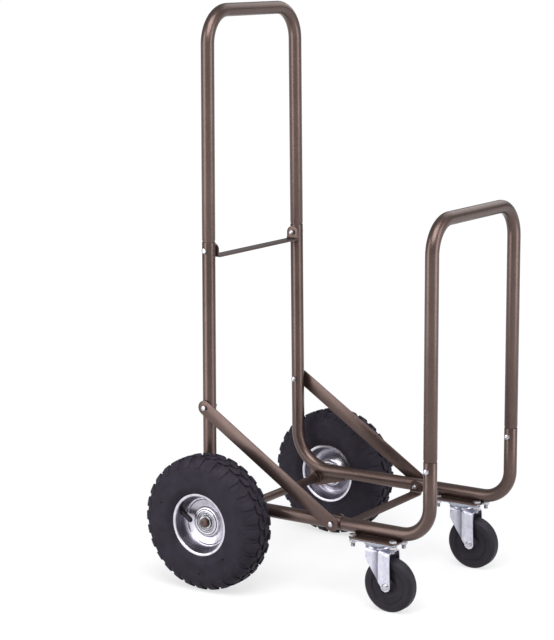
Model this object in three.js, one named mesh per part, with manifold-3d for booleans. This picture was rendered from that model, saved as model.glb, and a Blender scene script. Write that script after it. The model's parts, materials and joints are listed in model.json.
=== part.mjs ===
// Fireside log cart: a bolted tube frame on two pneumatic wheels and two swivel casters.
// Units are millimetres and +Z is up. The low hoop and the casters are at the front (-Y), the tall
// handle and the big wheels at the back (+Y). The origin is on the floor, under the middle of the cart.
// Every piece is made on the +X side and mirrored for the -X side.
import * as THREE from 'three';
import { mergeVertices } from 'three/addons/utils/BufferGeometryUtils.js';
import Module from 'manifold-3d';

const wasm = await Module();
wasm.setup();

// ---- Overall sizes ----
const overallLength = 575;          // back of the big wheels to the front of the front hoop
const overallWidth = 520;           // over the big wheels
const overallHeight = 1080;         // floor to the top of the handle

// ---- Frame tube ----
const tubeDiameter = 25;
const tubeWall = 1.5;
const slipGap = 0.3;                // between pieces that touch or slide into each other
const plugLength = 45;              // swaged end that goes into the next tube
const shoulderLength = 4;           // where a tube narrows to its swaged end
const railAboveAxle = 19;           // centre of the rails above the axle
const tyreToRail = 17.5;            // inner side of a tyre to the rail beside it
const handleLean = 8.5;             // each leg of the handle leans in this far towards the top
const uprightSetback = 44;          // rear uprights stand this far behind the axle
const handleBendRadius = 62;
const rearBendRadius = 75;
const frontBendRadius = 56;
const frontHoopBendRadius = 60;
const frontHoopHeight = 725.5;      // floor to the top of the front hoop
const boltToSeam = 15;              // joint bolt to the end of the outer tube

// ---- Joint bolts ----
const handleBoltHeight = 626.5;
const strutBoltHeight = 329;
const frontHoopBoltHeight = 272;
const railJointToAxle = 238;        // rail joint bolt in front of the axle
const boltDiameter = 6;
const boltHoleClearance = 0.3;      // radial
const boltHeadWidth = 11;           // across the corners
const boltHeadHeight = 4;
const boltNutHeight = 5;
const boltThreadEnd = 2.5;          // thread that stands out of a nut

// ---- Flat bars ----
const strutWidth = 28;
const strutThickness = 3;
const crossBarWidth = 25;
const crossBarThickness = 3;
const crossBarBend = 5;             // outer radius where the tabs turn up
const crossBarDrop = 15;            // underside of a cross bar below its bolts

// ---- Axle and its brackets ----
const wheelDiameter = 256;
const axleDiameter = 17;
const axleRunningGap = 0.3;         // radial, in sleeves and bearings
const axleEndStandout = 7;          // axle end beyond the hub
const sleeveWall = 2.2;
const gussetThickness = 4;
const gussetReach = 66;             // front tip of the gusset in front of the axle
const gussetRim = 4.5;              // gusset metal round the sleeve
const sleeveInset = 13;             // sleeve inboard of the rail's centre

// ---- Big wheel ----
const tyreWidth = 76;
const treadDepth = 4;
const treadBlocks = 28;             // in each of the two rows
const treadBlockLength = 19;
const treadCentreGap = 3;
const treadBlockRoot = 4;           // tread block sunk into the carcass
const treadBlockWrap = 9;           // tread block run down over the shoulder
const tyreShoulderWidth = 66;
const tyreShoulderRound = 6;
const sidewallBulge = 2.5;          // widest part of the sidewall beyond its top and foot
const carcassWall = 6.5;
const beadRadius = 54.3;
const beadThickness = 5;
const beadGap = 2;                  // tyre to the rim's sheet at the bead
const tubeFit = 0.5;                // inner tube inside the tyre
const innerTubeWall = 1.8;
const rimRadius = 60;
const rimWidth = 60;
const rimSheet = 2.2;
const rimWellRadius = 47.5;
const rimWebRadius = 44;
const rimJoint = 2.8;               // step between the two pressed halves, each side of the middle
const rimLipCurl = 2.5;             // lip beyond the bead seat
const hubRadius = 24;
const hubRecess = 29;               // hub end inboard of the tyre's outer face
const hubLength = 34;
const hubBoreRadius = 14;
const bearingRadius = 20;
const bearingWidth = 12;
const bearingRecess = 1;
const bearingRaceWidth = 3.5;
const bearingGroove = 1;
const valveDiameter = 8;
const valveBore = 3;
const valveAngle = 26;              // degrees above the backward direction
const valveTipRadius = 20;
const valveTipOffset = 21;          // tip outboard of the wheel's middle plane
const valveHoleGap = 1;             // radial, in the rim
const washerRadius = 12.5;
const washerThickness = 2;
const splitPinDiameter = 3;
const splitPinHole = 3.6;
const splitPinEye = 3.4;            // radius
const splitPinEnd = 3;              // pin beyond the axle on each side

// ---- Casters ----
const casterWidth = 25;
const casterTrail = 26;             // wheel axle in front of the kingpin
const casterToAxle = 356.5;         // caster wheel axle in front of the big wheels' axle
const casterOutset = 3;             // casters outboard of the rails' centres
const casterTopGap = 15.6;          // top of the caster wheel to the crown of its fork
const casterChamfer = 4;
const casterTyreDepth = 16;         // rubber outside the core
const casterFaceRecess = 1.5;
const casterHubRadius = 11;
const casterHubFillet = 4;
const casterSideGap = 2.2;          // wheel face to fork cheek
const mountLength = 100;
const mountWidth = 60;
const mountThickness = 3;
const mountCorner = 12;
const mountBoltsAlong = 84;
const mountBoltsAcross = 38;
const mountBoltDiameter = 8;
const mountBoltHead = 13.5;
const mountThreadEnd = 8;
const plateMargin = 3;              // caster plate inside the mount's outline
const plateThickness = 2.5;
const raceRadius = 26.5;
const raceHeight = 6;
const cupRadius = 24;
const cupHeight = 4;
const kingpinDiameter = 12;
const kingpinHead = 18;
const kingpinHeadHeight = 5;
const forkSheet = 2.5;
const forkPad = 1.5;                // pressed pad on each cheek
const forkPadStart = 7;             // back edge of the pad, in front of the kingpin
const forkFootSweep = 144;          // degrees of the cheek's foot that are round
const forkFoot = 9.5;               // radius round the caster axle
const forkBack = 17;                // cheek behind the kingpin
const forkNose = 33.5;              // cheek in front of the kingpin
const forkSlope = 4;                // fall of the crown from back to nose
const casterAxleDiameter = 8;
const casterAxleHead = 13;
const casterAxleHeadHeight = 3.5;
const casterAxleEnd = 1;            // rivet shank beyond the head's underside

// ---- Facets ----
const tubeSides = 12;
const bendSteps = 5;
const wheelSides = 20;
const hubSides = 16;
const shaftSides = 12;
const boltSides = 6;
const cornerSteps = 3;
const endSteps = 6;                 // round a flat bar's half-round end
const footSteps = 4;                // round the foot of a fork's cheek

// ---- Places worked out from the sizes ----
const wheelRadius = wheelDiameter / 2;
const axleY = overallLength / 2 - wheelRadius;
const axleZ = wheelRadius;
const tubeRadius = tubeDiameter / 2;
const boreDiameter = tubeDiameter - 2 * tubeWall;
const plugDiameter = boreDiameter - 2 * slipGap;
const plugBore = plugDiameter - 2 * tubeWall;
const railHeight = axleZ + railAboveAxle;
const railX = overallWidth / 2 - tyreWidth - tyreToRail - tubeRadius;
const handleTopX = railX - handleLean;
const frontY = -overallLength / 2 + tubeRadius;
const rearY = axleY + uprightSetback;
const railJointY = axleY - railJointToAxle;
const railSeamY = railJointY - boltToSeam;
const handleTopZ = overallHeight - tubeRadius;
const handleSeamZ = handleBoltHeight + boltToSeam;
const frontHoopTopZ = frontHoopHeight - tubeRadius;
const frontHoopSeamZ = frontHoopBoltHeight + boltToSeam;
const strutInnerX = railX + tubeRadius + slipGap;
const strutOuterX = strutInnerX + strutThickness;
const wheelX = overallWidth / 2 - tyreWidth / 2;
const hubOuterX = overallWidth / 2 - hubRecess;
const hubInnerX = hubOuterX - hubLength;
const bearingOuterX = hubOuterX - bearingRecess;
const bearingInnerX = hubInnerX + bearingRecess;
const axleEndX = hubOuterX + axleEndStandout;
const sleeveRadius = axleDiameter / 2 + axleRunningGap + sleeveWall;
const washerX = bearingOuterX + slipGap;
const splitPinX = washerX + washerThickness + slipGap + splitPinDiameter / 2;
const casterX = railX + casterOutset;
const casterAxleY = axleY - casterToAxle;
const kingpinY = casterAxleY + casterTrail;
const mountTopZ = railHeight - tubeRadius - slipGap;
const mountBottomZ = mountTopZ - mountThickness;
const plateTopZ = mountBottomZ - slipGap;
const plateBottomZ = plateTopZ - plateThickness;
const raceBottomZ = plateBottomZ - raceHeight;
const crownTopZ = raceBottomZ - slipGap - cupHeight;
const crownBottomZ = crownTopZ - forkSheet;
const casterDiameter = crownBottomZ - casterTopGap;
const casterCoreRadius = casterDiameter / 2 - casterTyreDepth;
const casterAxleZ = casterDiameter / 2;
const forkGap = casterWidth / 2 + casterSideGap;
const footSweep = forkFootSweep * Math.PI / 180;

// ---- Materials ----
const paint = new THREE.MeshStandardMaterial({ color: 0x6b5a52, roughness: 0.45, metalness: 0.3 });
const zinc = new THREE.MeshStandardMaterial({ color: 0xc4c6cc, roughness: 0.3, metalness: 1 });
const boltZinc = new THREE.MeshStandardMaterial({ color: 0xd0cdc4, roughness: 0.35, metalness: 1 });
const bearingSteel = new THREE.MeshStandardMaterial({ color: 0xb0b2b6, roughness: 0.2, metalness: 1 });
const tyreRubber = new THREE.MeshStandardMaterial({ color: 0x2e2b33, roughness: 0.75, metalness: 0 });
const casterRubber = new THREE.MeshStandardMaterial({ color: 0x2b2830, roughness: 0.6, metalness: 0 });
const tubeRubber = new THREE.MeshStandardMaterial({ color: 0x1c1b1e, roughness: 0.6, metalness: 0 });

// ---- Solids ----

// A closed geometry as a solid that can be cut and joined.
function toSolid(geometry) {
  const bare = geometry.clone();
  bare.deleteAttribute('normal');
  bare.deleteAttribute('uv');
  const merged = mergeVertices(bare, 1e-4);
  const index = merged.index.array;
  const triangles = [];
  for (let i = 0; i < index.length; i += 3) {
    const [a, b, c] = [index[i], index[i + 1], index[i + 2]];
    if (a !== b && b !== c && c !== a) triangles.push(a, b, c);
  }
  const vertProperties = Float32Array.from(merged.attributes.position.array);
  const triVerts = Uint32Array.from(triangles);
  return new wasm.Manifold(new wasm.Mesh({ numProp: 3, vertProperties, triVerts }));
}

function toGeometry(solid) {
  const mesh = solid.getMesh();
  const positions = new Float32Array(mesh.numVert * 3);
  for (let i = 0; i < mesh.numVert; i++) {
    for (let k = 0; k < 3; k++) positions[3 * i + k] = mesh.vertProperties[i * mesh.numProp + k];
  }
  const geometry = new THREE.BufferGeometry();
  geometry.setAttribute('position', new THREE.BufferAttribute(positions, 3));
  geometry.setIndex(Array.from(mesh.triVerts));
  geometry.computeVertexNormals();
  return geometry;
}

const join = (...solids) => solids.reduce((whole, solid) => whole.add(solid));
const cut = (solid, ...tools) => tools.reduce((rest, tool) => rest.subtract(tool), solid);

// The same geometry on the other side of the cart.
function mirrored(geometry) {
  const copy = geometry.clone().scale(-1, 1, 1);
  const index = Array.from(copy.index.array);
  for (let i = 0; i < index.length; i += 3) [index[i], index[i + 1]] = [index[i + 1], index[i]];
  copy.setIndex(index);
  copy.computeVertexNormals();
  return copy;
}

// A solid turned round the X or Z axis from [along, radius] points, then moved to its place.
function turned(points, axis, sides, place = [0, 0, 0]) {
  let area = 0;
  points.forEach(([a, r], i) => {
    const [nextA, nextR] = points[(i + 1) % points.length];
    area += r * nextA - nextR * a;
  });
  const ordered = area > 0 ? points : [...points].reverse();
  const profile = ordered.map(([a, r]) => new THREE.Vector2(r, a));
  profile.push(profile[0].clone());
  const geometry = new THREE.LatheGeometry(profile, sides);
  if (axis === 'x') geometry.rotateZ(-Math.PI / 2);
  else geometry.rotateX(Math.PI / 2);
  return toSolid(geometry.translate(...place));
}

function ring(from, to, inner, outer, axis, sides, place) {
  return turned([[from, inner], [from, outer], [to, outer], [to, inner]], axis, sides, place);
}

function rod(from, to, radius, axis, sides, place) {
  return ring(from, to, 0, radius, axis, sides, place);
}

// An outline of [y, z] points given a thickness along X.
function slabX(outline, fromX, toX) {
  const shape = outline instanceof THREE.Shape ? outline : shapeOf(outline);
  const geometry = new THREE.ExtrudeGeometry(shape, {
    depth: toX - fromX, bevelEnabled: false, curveSegments: endSteps,
  });
  const basis = new THREE.Matrix4().makeBasis(
    new THREE.Vector3(0, 1, 0), new THREE.Vector3(0, 0, 1), new THREE.Vector3(1, 0, 0));
  return toSolid(geometry.applyMatrix4(basis).translate(fromX, 0, 0));
}

// A shape of [x, y] points given a thickness along Z.
function slabZ(shape, fromZ, toZ) {
  const geometry = new THREE.ExtrudeGeometry(shape, { depth: toZ - fromZ, bevelEnabled: false });
  return toSolid(geometry.translate(0, 0, fromZ));
}

function shapeOf(points) {
  return new THREE.Shape(points.map(([x, y]) => new THREE.Vector2(x, y)));
}

// A rectangle with round corners, centred on (x, y).
function roundRectangle(x, y, width, height, corner) {
  const [halfWidth, halfHeight] = [width / 2 - corner, height / 2 - corner];
  const corners = [[1, -1], [1, 1], [-1, 1], [-1, -1]];
  return shapeOf(corners.flatMap(([sx, sy], i) => Array.from({ length: cornerSteps + 1 }, (_, k) => {
    const angle = Math.PI / 2 * (i - 1 + k / cornerSteps);
    return [
      x + sx * halfWidth + corner * Math.cos(angle),
      y + sy * halfHeight + corner * Math.sin(angle),
    ];
  })));
}

// ---- Bent tubes ----

// Points and directions along straight runs with round bends at the inner corners.
function bentRoute(corners, bendRadius) {
  const points = corners.map((corner) => new THREE.Vector3(...corner));
  const stations = [];
  const runs = points.slice(1).map((point, i) => point.clone().sub(points[i]).normalize());
  stations.push({ point: points[0], along: runs[0] });
  for (let i = 1; i < points.length - 1; i++) {
    const [before, after] = [runs[i - 1], runs[i]];
    const turn = before.angleTo(after);
    const setback = bendRadius * Math.tan(turn / 2);
    const start = points[i].clone().addScaledVector(before, -setback);
    const inward = after.clone().addScaledVector(before, -after.dot(before)).normalize();
    for (let k = 0; k <= bendSteps; k++) {
      const angle = turn * k / bendSteps;
      const point = start.clone()
        .addScaledVector(before, bendRadius * Math.sin(angle))
        .addScaledVector(inward, bendRadius * (1 - Math.cos(angle)));
      const along = before.clone().multiplyScalar(Math.cos(angle))
        .addScaledVector(inward, Math.sin(angle));
      stations.push({ point, along });
    }
  }
  stations.push({ point: points.at(-1), along: runs.at(-1) });
  return stations;
}

// A path that steps from station to station, so that a straight run costs one step.
class StationPath extends THREE.Curve {
  constructor(stations) {
    super();
    this.stations = stations;
  }

  station(t) {
    return this.stations[Math.round(t * (this.stations.length - 1))];
  }

  getPoint(t, target = new THREE.Vector3()) {
    return target.copy(this.station(t).point);
  }

  getTangent(t, target = new THREE.Vector3()) {
    return target.copy(this.station(t).along);
  }

  getUtoTmapping(u) {
    return u;
  }
}

function tube(route, diameter, bore = 0) {
  const section = new THREE.Shape().absarc(0, 0, diameter / 2, 0, 2 * Math.PI);
  if (bore > 0) section.holes.push(new THREE.Path().absarc(0, 0, bore / 2, 0, 2 * Math.PI, true));
  const geometry = new THREE.ExtrudeGeometry(section, {
    steps: route.length - 1, curveSegments: tubeSides / 2, extrudePath: new StationPath(route),
  });
  return toSolid(geometry);
}

// The narrowed end that a tube pushes into the next one, from its seam along a direction.
function plug(seam, direction) {
  const at = (distance) => new THREE.Vector3(...seam)
    .addScaledVector(direction, distance).toArray();
  const neckDiameter = tubeDiameter - tubeWall;
  const shoulder = tube(bentRoute([at(-shoulderLength), at(0)], 0), neckDiameter, plugBore);
  const end = tube(bentRoute([at(-shoulderLength / 2), at(plugLength)], 0), plugDiameter, plugBore);
  return join(shoulder, end);
}

// ---- Frame ----

// Half the spacing of the rear uprights and the handle's legs at a height.
function legX(z) {
  const share = (z - railHeight) / (handleTopZ - railHeight);
  return railX - handleLean * share;
}

const boltHole = (y, z) => rod(0, railX + 2 * tubeDiameter,
  boltDiameter / 2 + boltHoleClearance, 'x', boltSides, [0, y, z]);

function bothSides(solid) {
  return join(solid, toSolid(mirrored(toGeometry(solid))));
}

// A hoop on two legs, with a swaged end under each seam.
function hoop(footX, topX, y, seamZ, topZ, bendRadius, boltZ) {
  const route = bentRoute(
    [[footX, y, seamZ], [topX, y, topZ], [-topX, y, topZ], [-footX, y, seamZ]], bendRadius);
  const lean = new THREE.Vector3(footX - topX, 0, seamZ - topZ).normalize();
  const legs = bothSides(plug([footX, y, seamZ], lean));
  const whole = join(tube(route, tubeDiameter, boreDiameter), legs);
  return cut(whole, bothSides(boltHole(y, boltZ)));
}

const rearRoute = bentRoute(
  [[railX, railSeamY, railHeight], [railX, rearY, railHeight], [legX(handleSeamZ), rearY, handleSeamZ]],
  rearBendRadius);

function rearFrame() {
  return cut(tube(rearRoute, tubeDiameter, boreDiameter),
    boltHole(railJointY, railHeight),
    boltHole(rearY, strutBoltHeight),
    boltHole(rearY, handleBoltHeight));
}

function frontFrame() {
  const seam = [railX, railSeamY - slipGap, railHeight];
  const route = bentRoute(
    [seam, [railX, frontY, railHeight], [railX, frontY, frontHoopSeamZ]], frontBendRadius);
  const whole = join(tube(route, tubeDiameter, boreDiameter), plug(seam, new THREE.Vector3(0, 1, 0)));
  return cut(whole, boltHole(railJointY, railHeight), boltHole(frontY, frontHoopBoltHeight));
}

function strut() {
  const [low, high] = [[railJointY, railHeight], [rearY, strutBoltHeight]];
  const slope = Math.atan2(high[1] - low[1], high[0] - low[0]);
  const outline = new THREE.Shape()
    .absarc(...high, strutWidth / 2, slope - Math.PI / 2, slope + Math.PI / 2)
    .absarc(...low, strutWidth / 2, slope + Math.PI / 2, slope + 3 * Math.PI / 2);
  return cut(slabX(outline, strutInnerX, strutOuterX), boltHole(...low), boltHole(...high));
}

// Outer face of a cross bar's tab, inside the tubes at its bolts.
const tabX = (boltX) => boltX - tubeRadius - slipGap;

// A flat strip across the cart whose ends turn up against the insides of the tubes.
function crossBar(boltX, boltY, boltZ) {
  const [half, bottom] = [tabX(boltX), boltZ - crossBarDrop];
  const top = boltZ + crossBarWidth / 2;
  const inner = crossBarBend - crossBarThickness;
  const [innerHalf, innerBottom] = [half - crossBarThickness, bottom + crossBarThickness];
  const section = new THREE.Shape()
    .moveTo(half, top)
    .lineTo(innerHalf, top)
    .absarc(innerHalf - inner, innerBottom + inner, inner, 0, -Math.PI / 2, true)
    .absarc(-innerHalf + inner, innerBottom + inner, inner, -Math.PI / 2, -Math.PI, true)
    .lineTo(-innerHalf, top)
    .lineTo(-half, top)
    .absarc(-half + crossBarBend, bottom + crossBarBend, crossBarBend, Math.PI, 1.5 * Math.PI)
    .absarc(half - crossBarBend, bottom + crossBarBend, crossBarBend, 1.5 * Math.PI, 2 * Math.PI);
  const geometry = new THREE.ExtrudeGeometry(section, {
    depth: crossBarWidth, bevelEnabled: false, curveSegments: cornerSteps,
  });
  geometry.rotateX(Math.PI / 2).translate(0, boltY + crossBarWidth / 2, 0);
  const roundTop = new THREE.Shape()
    .moveTo(boltY + crossBarWidth, bottom - 1)
    .lineTo(boltY + crossBarWidth / 2, boltZ)
    .absarc(boltY, boltZ, crossBarWidth / 2, 0, Math.PI)
    .lineTo(boltY - crossBarWidth, bottom - 1);
  const trimmed = toSolid(geometry).intersect(slabX(roundTop, -half - 1, half + 1));
  return cut(trimmed, bothSides(boltHole(boltY, boltZ)));
}

// A hexagon bolt with its nut, turned round an axis: the head at the high end, clamping what lies
// between two faces, with some thread standing out of the nut.
function boltAndNut(axis, place, lowFace, highFace, diameter, acrossCorners, threadEnd) {
  const [shank, corner] = [diameter / 2, acrossCorners / 2];
  const [nutTop, headBottom] = [lowFace - slipGap, highFace + slipGap];
  const [nutBottom, headTop] = [nutTop - boltNutHeight, headBottom + boltHeadHeight];
  return turned([
    [nutBottom - threadEnd, 0], [nutBottom - threadEnd, shank], [nutBottom, shank],
    [nutBottom, corner], [nutTop, corner], [nutTop, shank],
    [headBottom, shank], [headBottom, corner], [headTop, corner], [headTop, 0],
  ], axis, boltSides, place);
}

const frameBolt = (y, z, innerFace, outerFace) =>
  boltAndNut('x', [0, y, z], innerFace, outerFace, boltDiameter, boltHeadWidth, boltThreadEnd);

// ---- Axle ----

function axle() {
  const drill = (x) => rod(-axleDiameter, axleDiameter, splitPinHole / 2, 'z', boltSides,
    [x, axleY, axleZ]);
  const bar = rod(-axleEndX, axleEndX, axleDiameter / 2, 'x', shaftSides, [0, axleY, axleZ]);
  return cut(bar, drill(splitPinX), drill(-splitPinX));
}

// A gusset under the bend of the rail, with a sleeve that carries the axle out to the wheel.
function axleBracket() {
  const eye = sleeveRadius + gussetRim;
  const eyeDrop = eye * Math.cos(Math.PI / 6);
  const outline = [
    [axleY - gussetReach, railHeight],
    [axleY - gussetReach, railHeight - tubeRadius - gussetRim],
    [axleY - eye / 2, axleZ - eyeDrop],
    [axleY + eye / 2, axleZ - eyeDrop],
    [axleY + eye, axleZ],
    [axleY + eye, railHeight + tubeRadius],
  ];
  const route = bentRoute([[railX, rearY - 2 * rearBendRadius, railHeight], [railX, rearY, railHeight],
    [railX, rearY, railHeight + 2 * rearBendRadius]], rearBendRadius);
  const gusset = cut(
    slabX(outline, railX - gussetThickness / 2, railX + gussetThickness / 2),
    tube(route, tubeDiameter + 2 * slipGap));
  const place = [0, axleY, axleZ];
  const from = railX - sleeveInset;
  const to = bearingInnerX - slipGap;
  return cut(
    join(gusset, rod(from, to, sleeveRadius, 'x', shaftSides, place)),
    rod(from - 1, to + 1, axleDiameter / 2 + axleRunningGap, 'x', shaftSides, place));
}

// ---- Big wheel, centred on wheelX ----

const wheelPlace = [wheelX, axleY, axleZ];
const treadBase = wheelRadius - treadDepth;
const cavityTop = treadBase - carcassWall;
const cavityBottom = beadRadius + tubeFit + 2;
const cavityMiddle = (cavityTop + cavityBottom) / 2;
const cavityHeight = (cavityTop - cavityBottom) / 2;
const cavityWidth = tyreWidth / 2 - carcassWall + 1;

const cavityStep = Math.PI / 3;

// A point of the tyre's cavity, drawn in by a margin, at an angle from the tread.
function cavityPoint(angle, margin) {
  return [
    (cavityWidth - margin) * Math.sin(angle),
    cavityMiddle + (cavityHeight - margin) * Math.cos(angle),
  ];
}

// Half of the tyre's section, from the shoulder round the bead to the top of the cavity.
function tyreHalfSection() {
  const side = tyreWidth / 2;
  const wallAt = (share) => treadBase - share * (treadBase - rimRadius);
  const lip = rimWidth / 2;
  const beadOuter = lip - rimSheet - beadGap;
  return [
    [tyreShoulderWidth / 2 - tyreShoulderRound, treadBase - 1],
    [side - sidewallBulge, wallAt(0.25)],
    [side, wallAt(0.5)],
    [side - sidewallBulge, wallAt(0.8)],
    [lip + slipGap, rimRadius + beadGap - slipGap],
    [beadOuter + beadGap / 2, rimRadius + slipGap],
    [beadOuter, beadRadius],
    [beadOuter - beadThickness, beadRadius],
    cavityPoint(2 * cavityStep, 0),
    cavityPoint(cavityStep, 0),
    cavityPoint(0, 0),
  ];
}

// One tread block, from the middle of the tread down over the shoulder.
function treadBlock(side, angle) {
  const shoulder = tyreShoulderWidth / 2;
  const middle = treadCentreGap / 2;
  const foot = treadBase - treadBlockWrap;
  const top = wheelRadius * wheelRadius / Math.hypot(wheelRadius, treadBlockLength / 2);
  const section = [
    [middle, treadBase - treadBlockRoot], [shoulder - treadBlockRoot, foot],
    [shoulder + sidewallBulge, foot], [shoulder - tyreShoulderRound - 1, top - 1], [middle, top],
  ];
  const shape = shapeOf(side > 0 ? section : section.map(([a, r]) => [-a, r]).reverse());
  const geometry = new THREE.ExtrudeGeometry(shape, { depth: treadBlockLength, bevelEnabled: false });
  const basis = new THREE.Matrix4().makeBasis(
    new THREE.Vector3(1, 0, 0), new THREE.Vector3(0, 0, 1), new THREE.Vector3(0, -1, 0));
  return toSolid(geometry.translate(0, 0, -treadBlockLength / 2).applyMatrix4(basis).rotateX(angle));
}

function tyre() {
  const right = tyreHalfSection();
  const left = right.slice(0, -1).map(([a, r]) => [-a, r]).reverse();
  const carcass = turned([...right, ...left], 'x', wheelSides);
  const pitch = 2 * Math.PI / treadBlocks;
  const blocks = Array.from({ length: treadBlocks }, (_, i) => [
    treadBlock(1, i * pitch),
    treadBlock(-1, (i + 0.5) * pitch),
  ]).flat();
  return join(carcass, ...blocks).translate(wheelPlace);
}

// A straight rod on the valve's centre line, from the middle of the air space towards the tip.
function alongValve(diameter, share = 1) {
  const angle = valveAngle * Math.PI / 180;
  const at = (a, r) => new THREE.Vector3(a, r * Math.cos(angle), r * Math.sin(angle));
  const root = at(0, cavityMiddle);
  const end = root.clone().lerp(at(valveTipOffset, valveTipRadius), share);
  return tube(bentRoute([root.toArray(), end.toArray()], 0), diameter);
}

function innerTube() {
  const section = (margin) => Array.from({ length: Math.round(2 * Math.PI / cavityStep) }, (_, i) =>
    cavityPoint(i * cavityStep, margin));
  const skin = turned(section(tubeFit), 'x', wheelSides);
  const air = turned(section(tubeFit + innerTubeWall), 'x', wheelSides);
  const stemmed = join(skin, alongValve(valveDiameter));
  return cut(stemmed, air, alongValve(valveBore, 1.1)).translate(wheelPlace);
}

// A pressed sheet as a closed profile: its centre line given half the sheet on each side.
function sheetProfile(points, sheet) {
  const offset = (side) => points.map((point, i) => {
    const before = points[Math.max(i - 1, 0)];
    const after = points[Math.min(i + 1, points.length - 1)];
    const [da, dr] = [after[0] - before[0], after[1] - before[1]];
    const length = Math.hypot(da, dr);
    return [point[0] - side * dr / length * sheet / 2, point[1] + side * da / length * sheet / 2];
  });
  return [...offset(1), ...offset(-1).reverse()];
}

// One pressed half of the rim. outward is 1 for the outboard half and -1 for the inboard half.
function rimHalf(outward, webAtHub) {
  const half = rimWidth / 2;
  const lean = Math.atan2(Math.abs(webAtHub - outward * rimSheet), rimWebRadius - hubRadius);
  const line = [
    [webAtHub, hubRadius + slipGap + rimSheet / 2 * Math.sin(lean)],
    [outward * rimSheet, rimWebRadius],
    [outward * (rimSheet + rimJoint), rimWellRadius],
    [outward * (half - rimLipCurl), beadRadius - rimSheet / 2 - 2 * slipGap],
    [outward * (half - rimSheet / 2), rimRadius - rimSheet / 3],
  ];
  const sheet = turned(sheetProfile(line, rimSheet), 'x', wheelSides);
  const pressed = outward > 0 ? cut(sheet, alongValve(valveDiameter + 2 * valveHoleGap)) : sheet;
  return pressed.translate(wheelPlace);
}

const hubCentreOffset = (hubOuterX + hubInnerX) / 2 - wheelX;

function hub() {
  const half = hubLength / 2;
  const seat = bearingWidth + bearingRecess + slipGap;
  const seatRadius = bearingRadius + slipGap;
  return turned([
    [-half, seatRadius], [-half, hubRadius], [half, hubRadius], [half, seatRadius],
    [half - seat, seatRadius], [half - seat, hubBoreRadius],
    [seat - half, hubBoreRadius], [seat - half, seatRadius],
  ], 'x', hubSides, [wheelX + hubCentreOffset, axleY, axleZ]);
}

// A sealed ball bearing, its seal a little below the races on the face that shows.
function bearing(shownFace, outward) {
  const bore = axleDiameter / 2 + axleRunningGap;
  const [innerRace, outerRace] = [bore + bearingRaceWidth, bearingRadius - bearingRaceWidth];
  const groove = -outward * bearingGroove;
  const back = -outward * bearingWidth;
  return turned([
    [back, bore], [back, bearingRadius], [0, bearingRadius], [0, outerRace],
    [groove, outerRace], [groove, innerRace], [0, innerRace], [0, bore],
  ], 'x', hubSides, [shownFace, axleY, axleZ]);
}

function axleWasher() {
  return ring(washerX, washerX + washerThickness, axleDiameter / 2 + axleRunningGap, washerRadius,
    'x', shaftSides, [0, axleY, axleZ]);
}

// A split pin down through the axle end, with its eye on top.
function splitPin() {
  const radius = splitPinDiameter / 2;
  const reach = axleDiameter / 2 + splitPinEnd;
  const place = [splitPinX, axleY, axleZ];
  const eye = new THREE.TorusGeometry(splitPinEye - radius / 2, 0.8 * radius, boltSides, boltSides);
  eye.rotateY(Math.PI / 2).translate(0, 0, reach + splitPinEye - radius);
  return join(rod(-reach, reach, radius, 'z', boltSides), toSolid(eye)).translate(place);
}

// ---- Casters ----

const mountBoltPlaces = [[1, 1], [1, -1], [-1, 1], [-1, -1]].map(([sx, sy]) =>
  [casterX + sx * mountBoltsAcross / 2, kingpinY + sy * mountBoltsAlong / 2]);

function mountHoles() {
  const radius = mountBoltDiameter / 2 + boltHoleClearance;
  return join(...mountBoltPlaces.map(([x, y]) =>
    rod(plateBottomZ - raceHeight, mountTopZ + 1, radius, 'z', boltSides, [x, y, 0])));
}

// The painted plate welded under the rail.
function casterMount() {
  const outline = roundRectangle(casterX, kingpinY, mountWidth, mountLength, mountCorner);
  return cut(slabZ(outline, mountBottomZ, mountTopZ), mountHoles());
}

// The caster's own plate, with its race and the kingpin that the fork turns on.
function casterPlate() {
  const outline = roundRectangle(casterX, kingpinY, mountWidth - 2 * plateMargin,
    mountLength - 2 * plateMargin, mountCorner - plateMargin);
  const place = [casterX, kingpinY, 0];
  const headTop = crownBottomZ - slipGap;
  const insidePlateZ = plateTopZ - plateThickness / 2;
  return join(
    cut(slabZ(outline, plateBottomZ, plateTopZ), mountHoles()),
    turned([
      [raceBottomZ, 0], [raceBottomZ, cupRadius + slipGap], [raceBottomZ + raceHeight / 2, raceRadius],
      [insidePlateZ, raceRadius], [insidePlateZ, 0],
    ], 'z', shaftSides, place),
    rod(headTop - kingpinHeadHeight / 2, insidePlateZ, kingpinDiameter / 2, 'z', tubeSides, place),
    rod(headTop - kingpinHeadHeight, headTop, kingpinHead / 2, 'z', tubeSides, place));
}

const mountBolt = ([x, y]) => boltAndNut('z', [x, y, 0], plateBottomZ, mountTopZ,
  mountBoltDiameter, mountBoltHead, mountThreadEnd);

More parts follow.
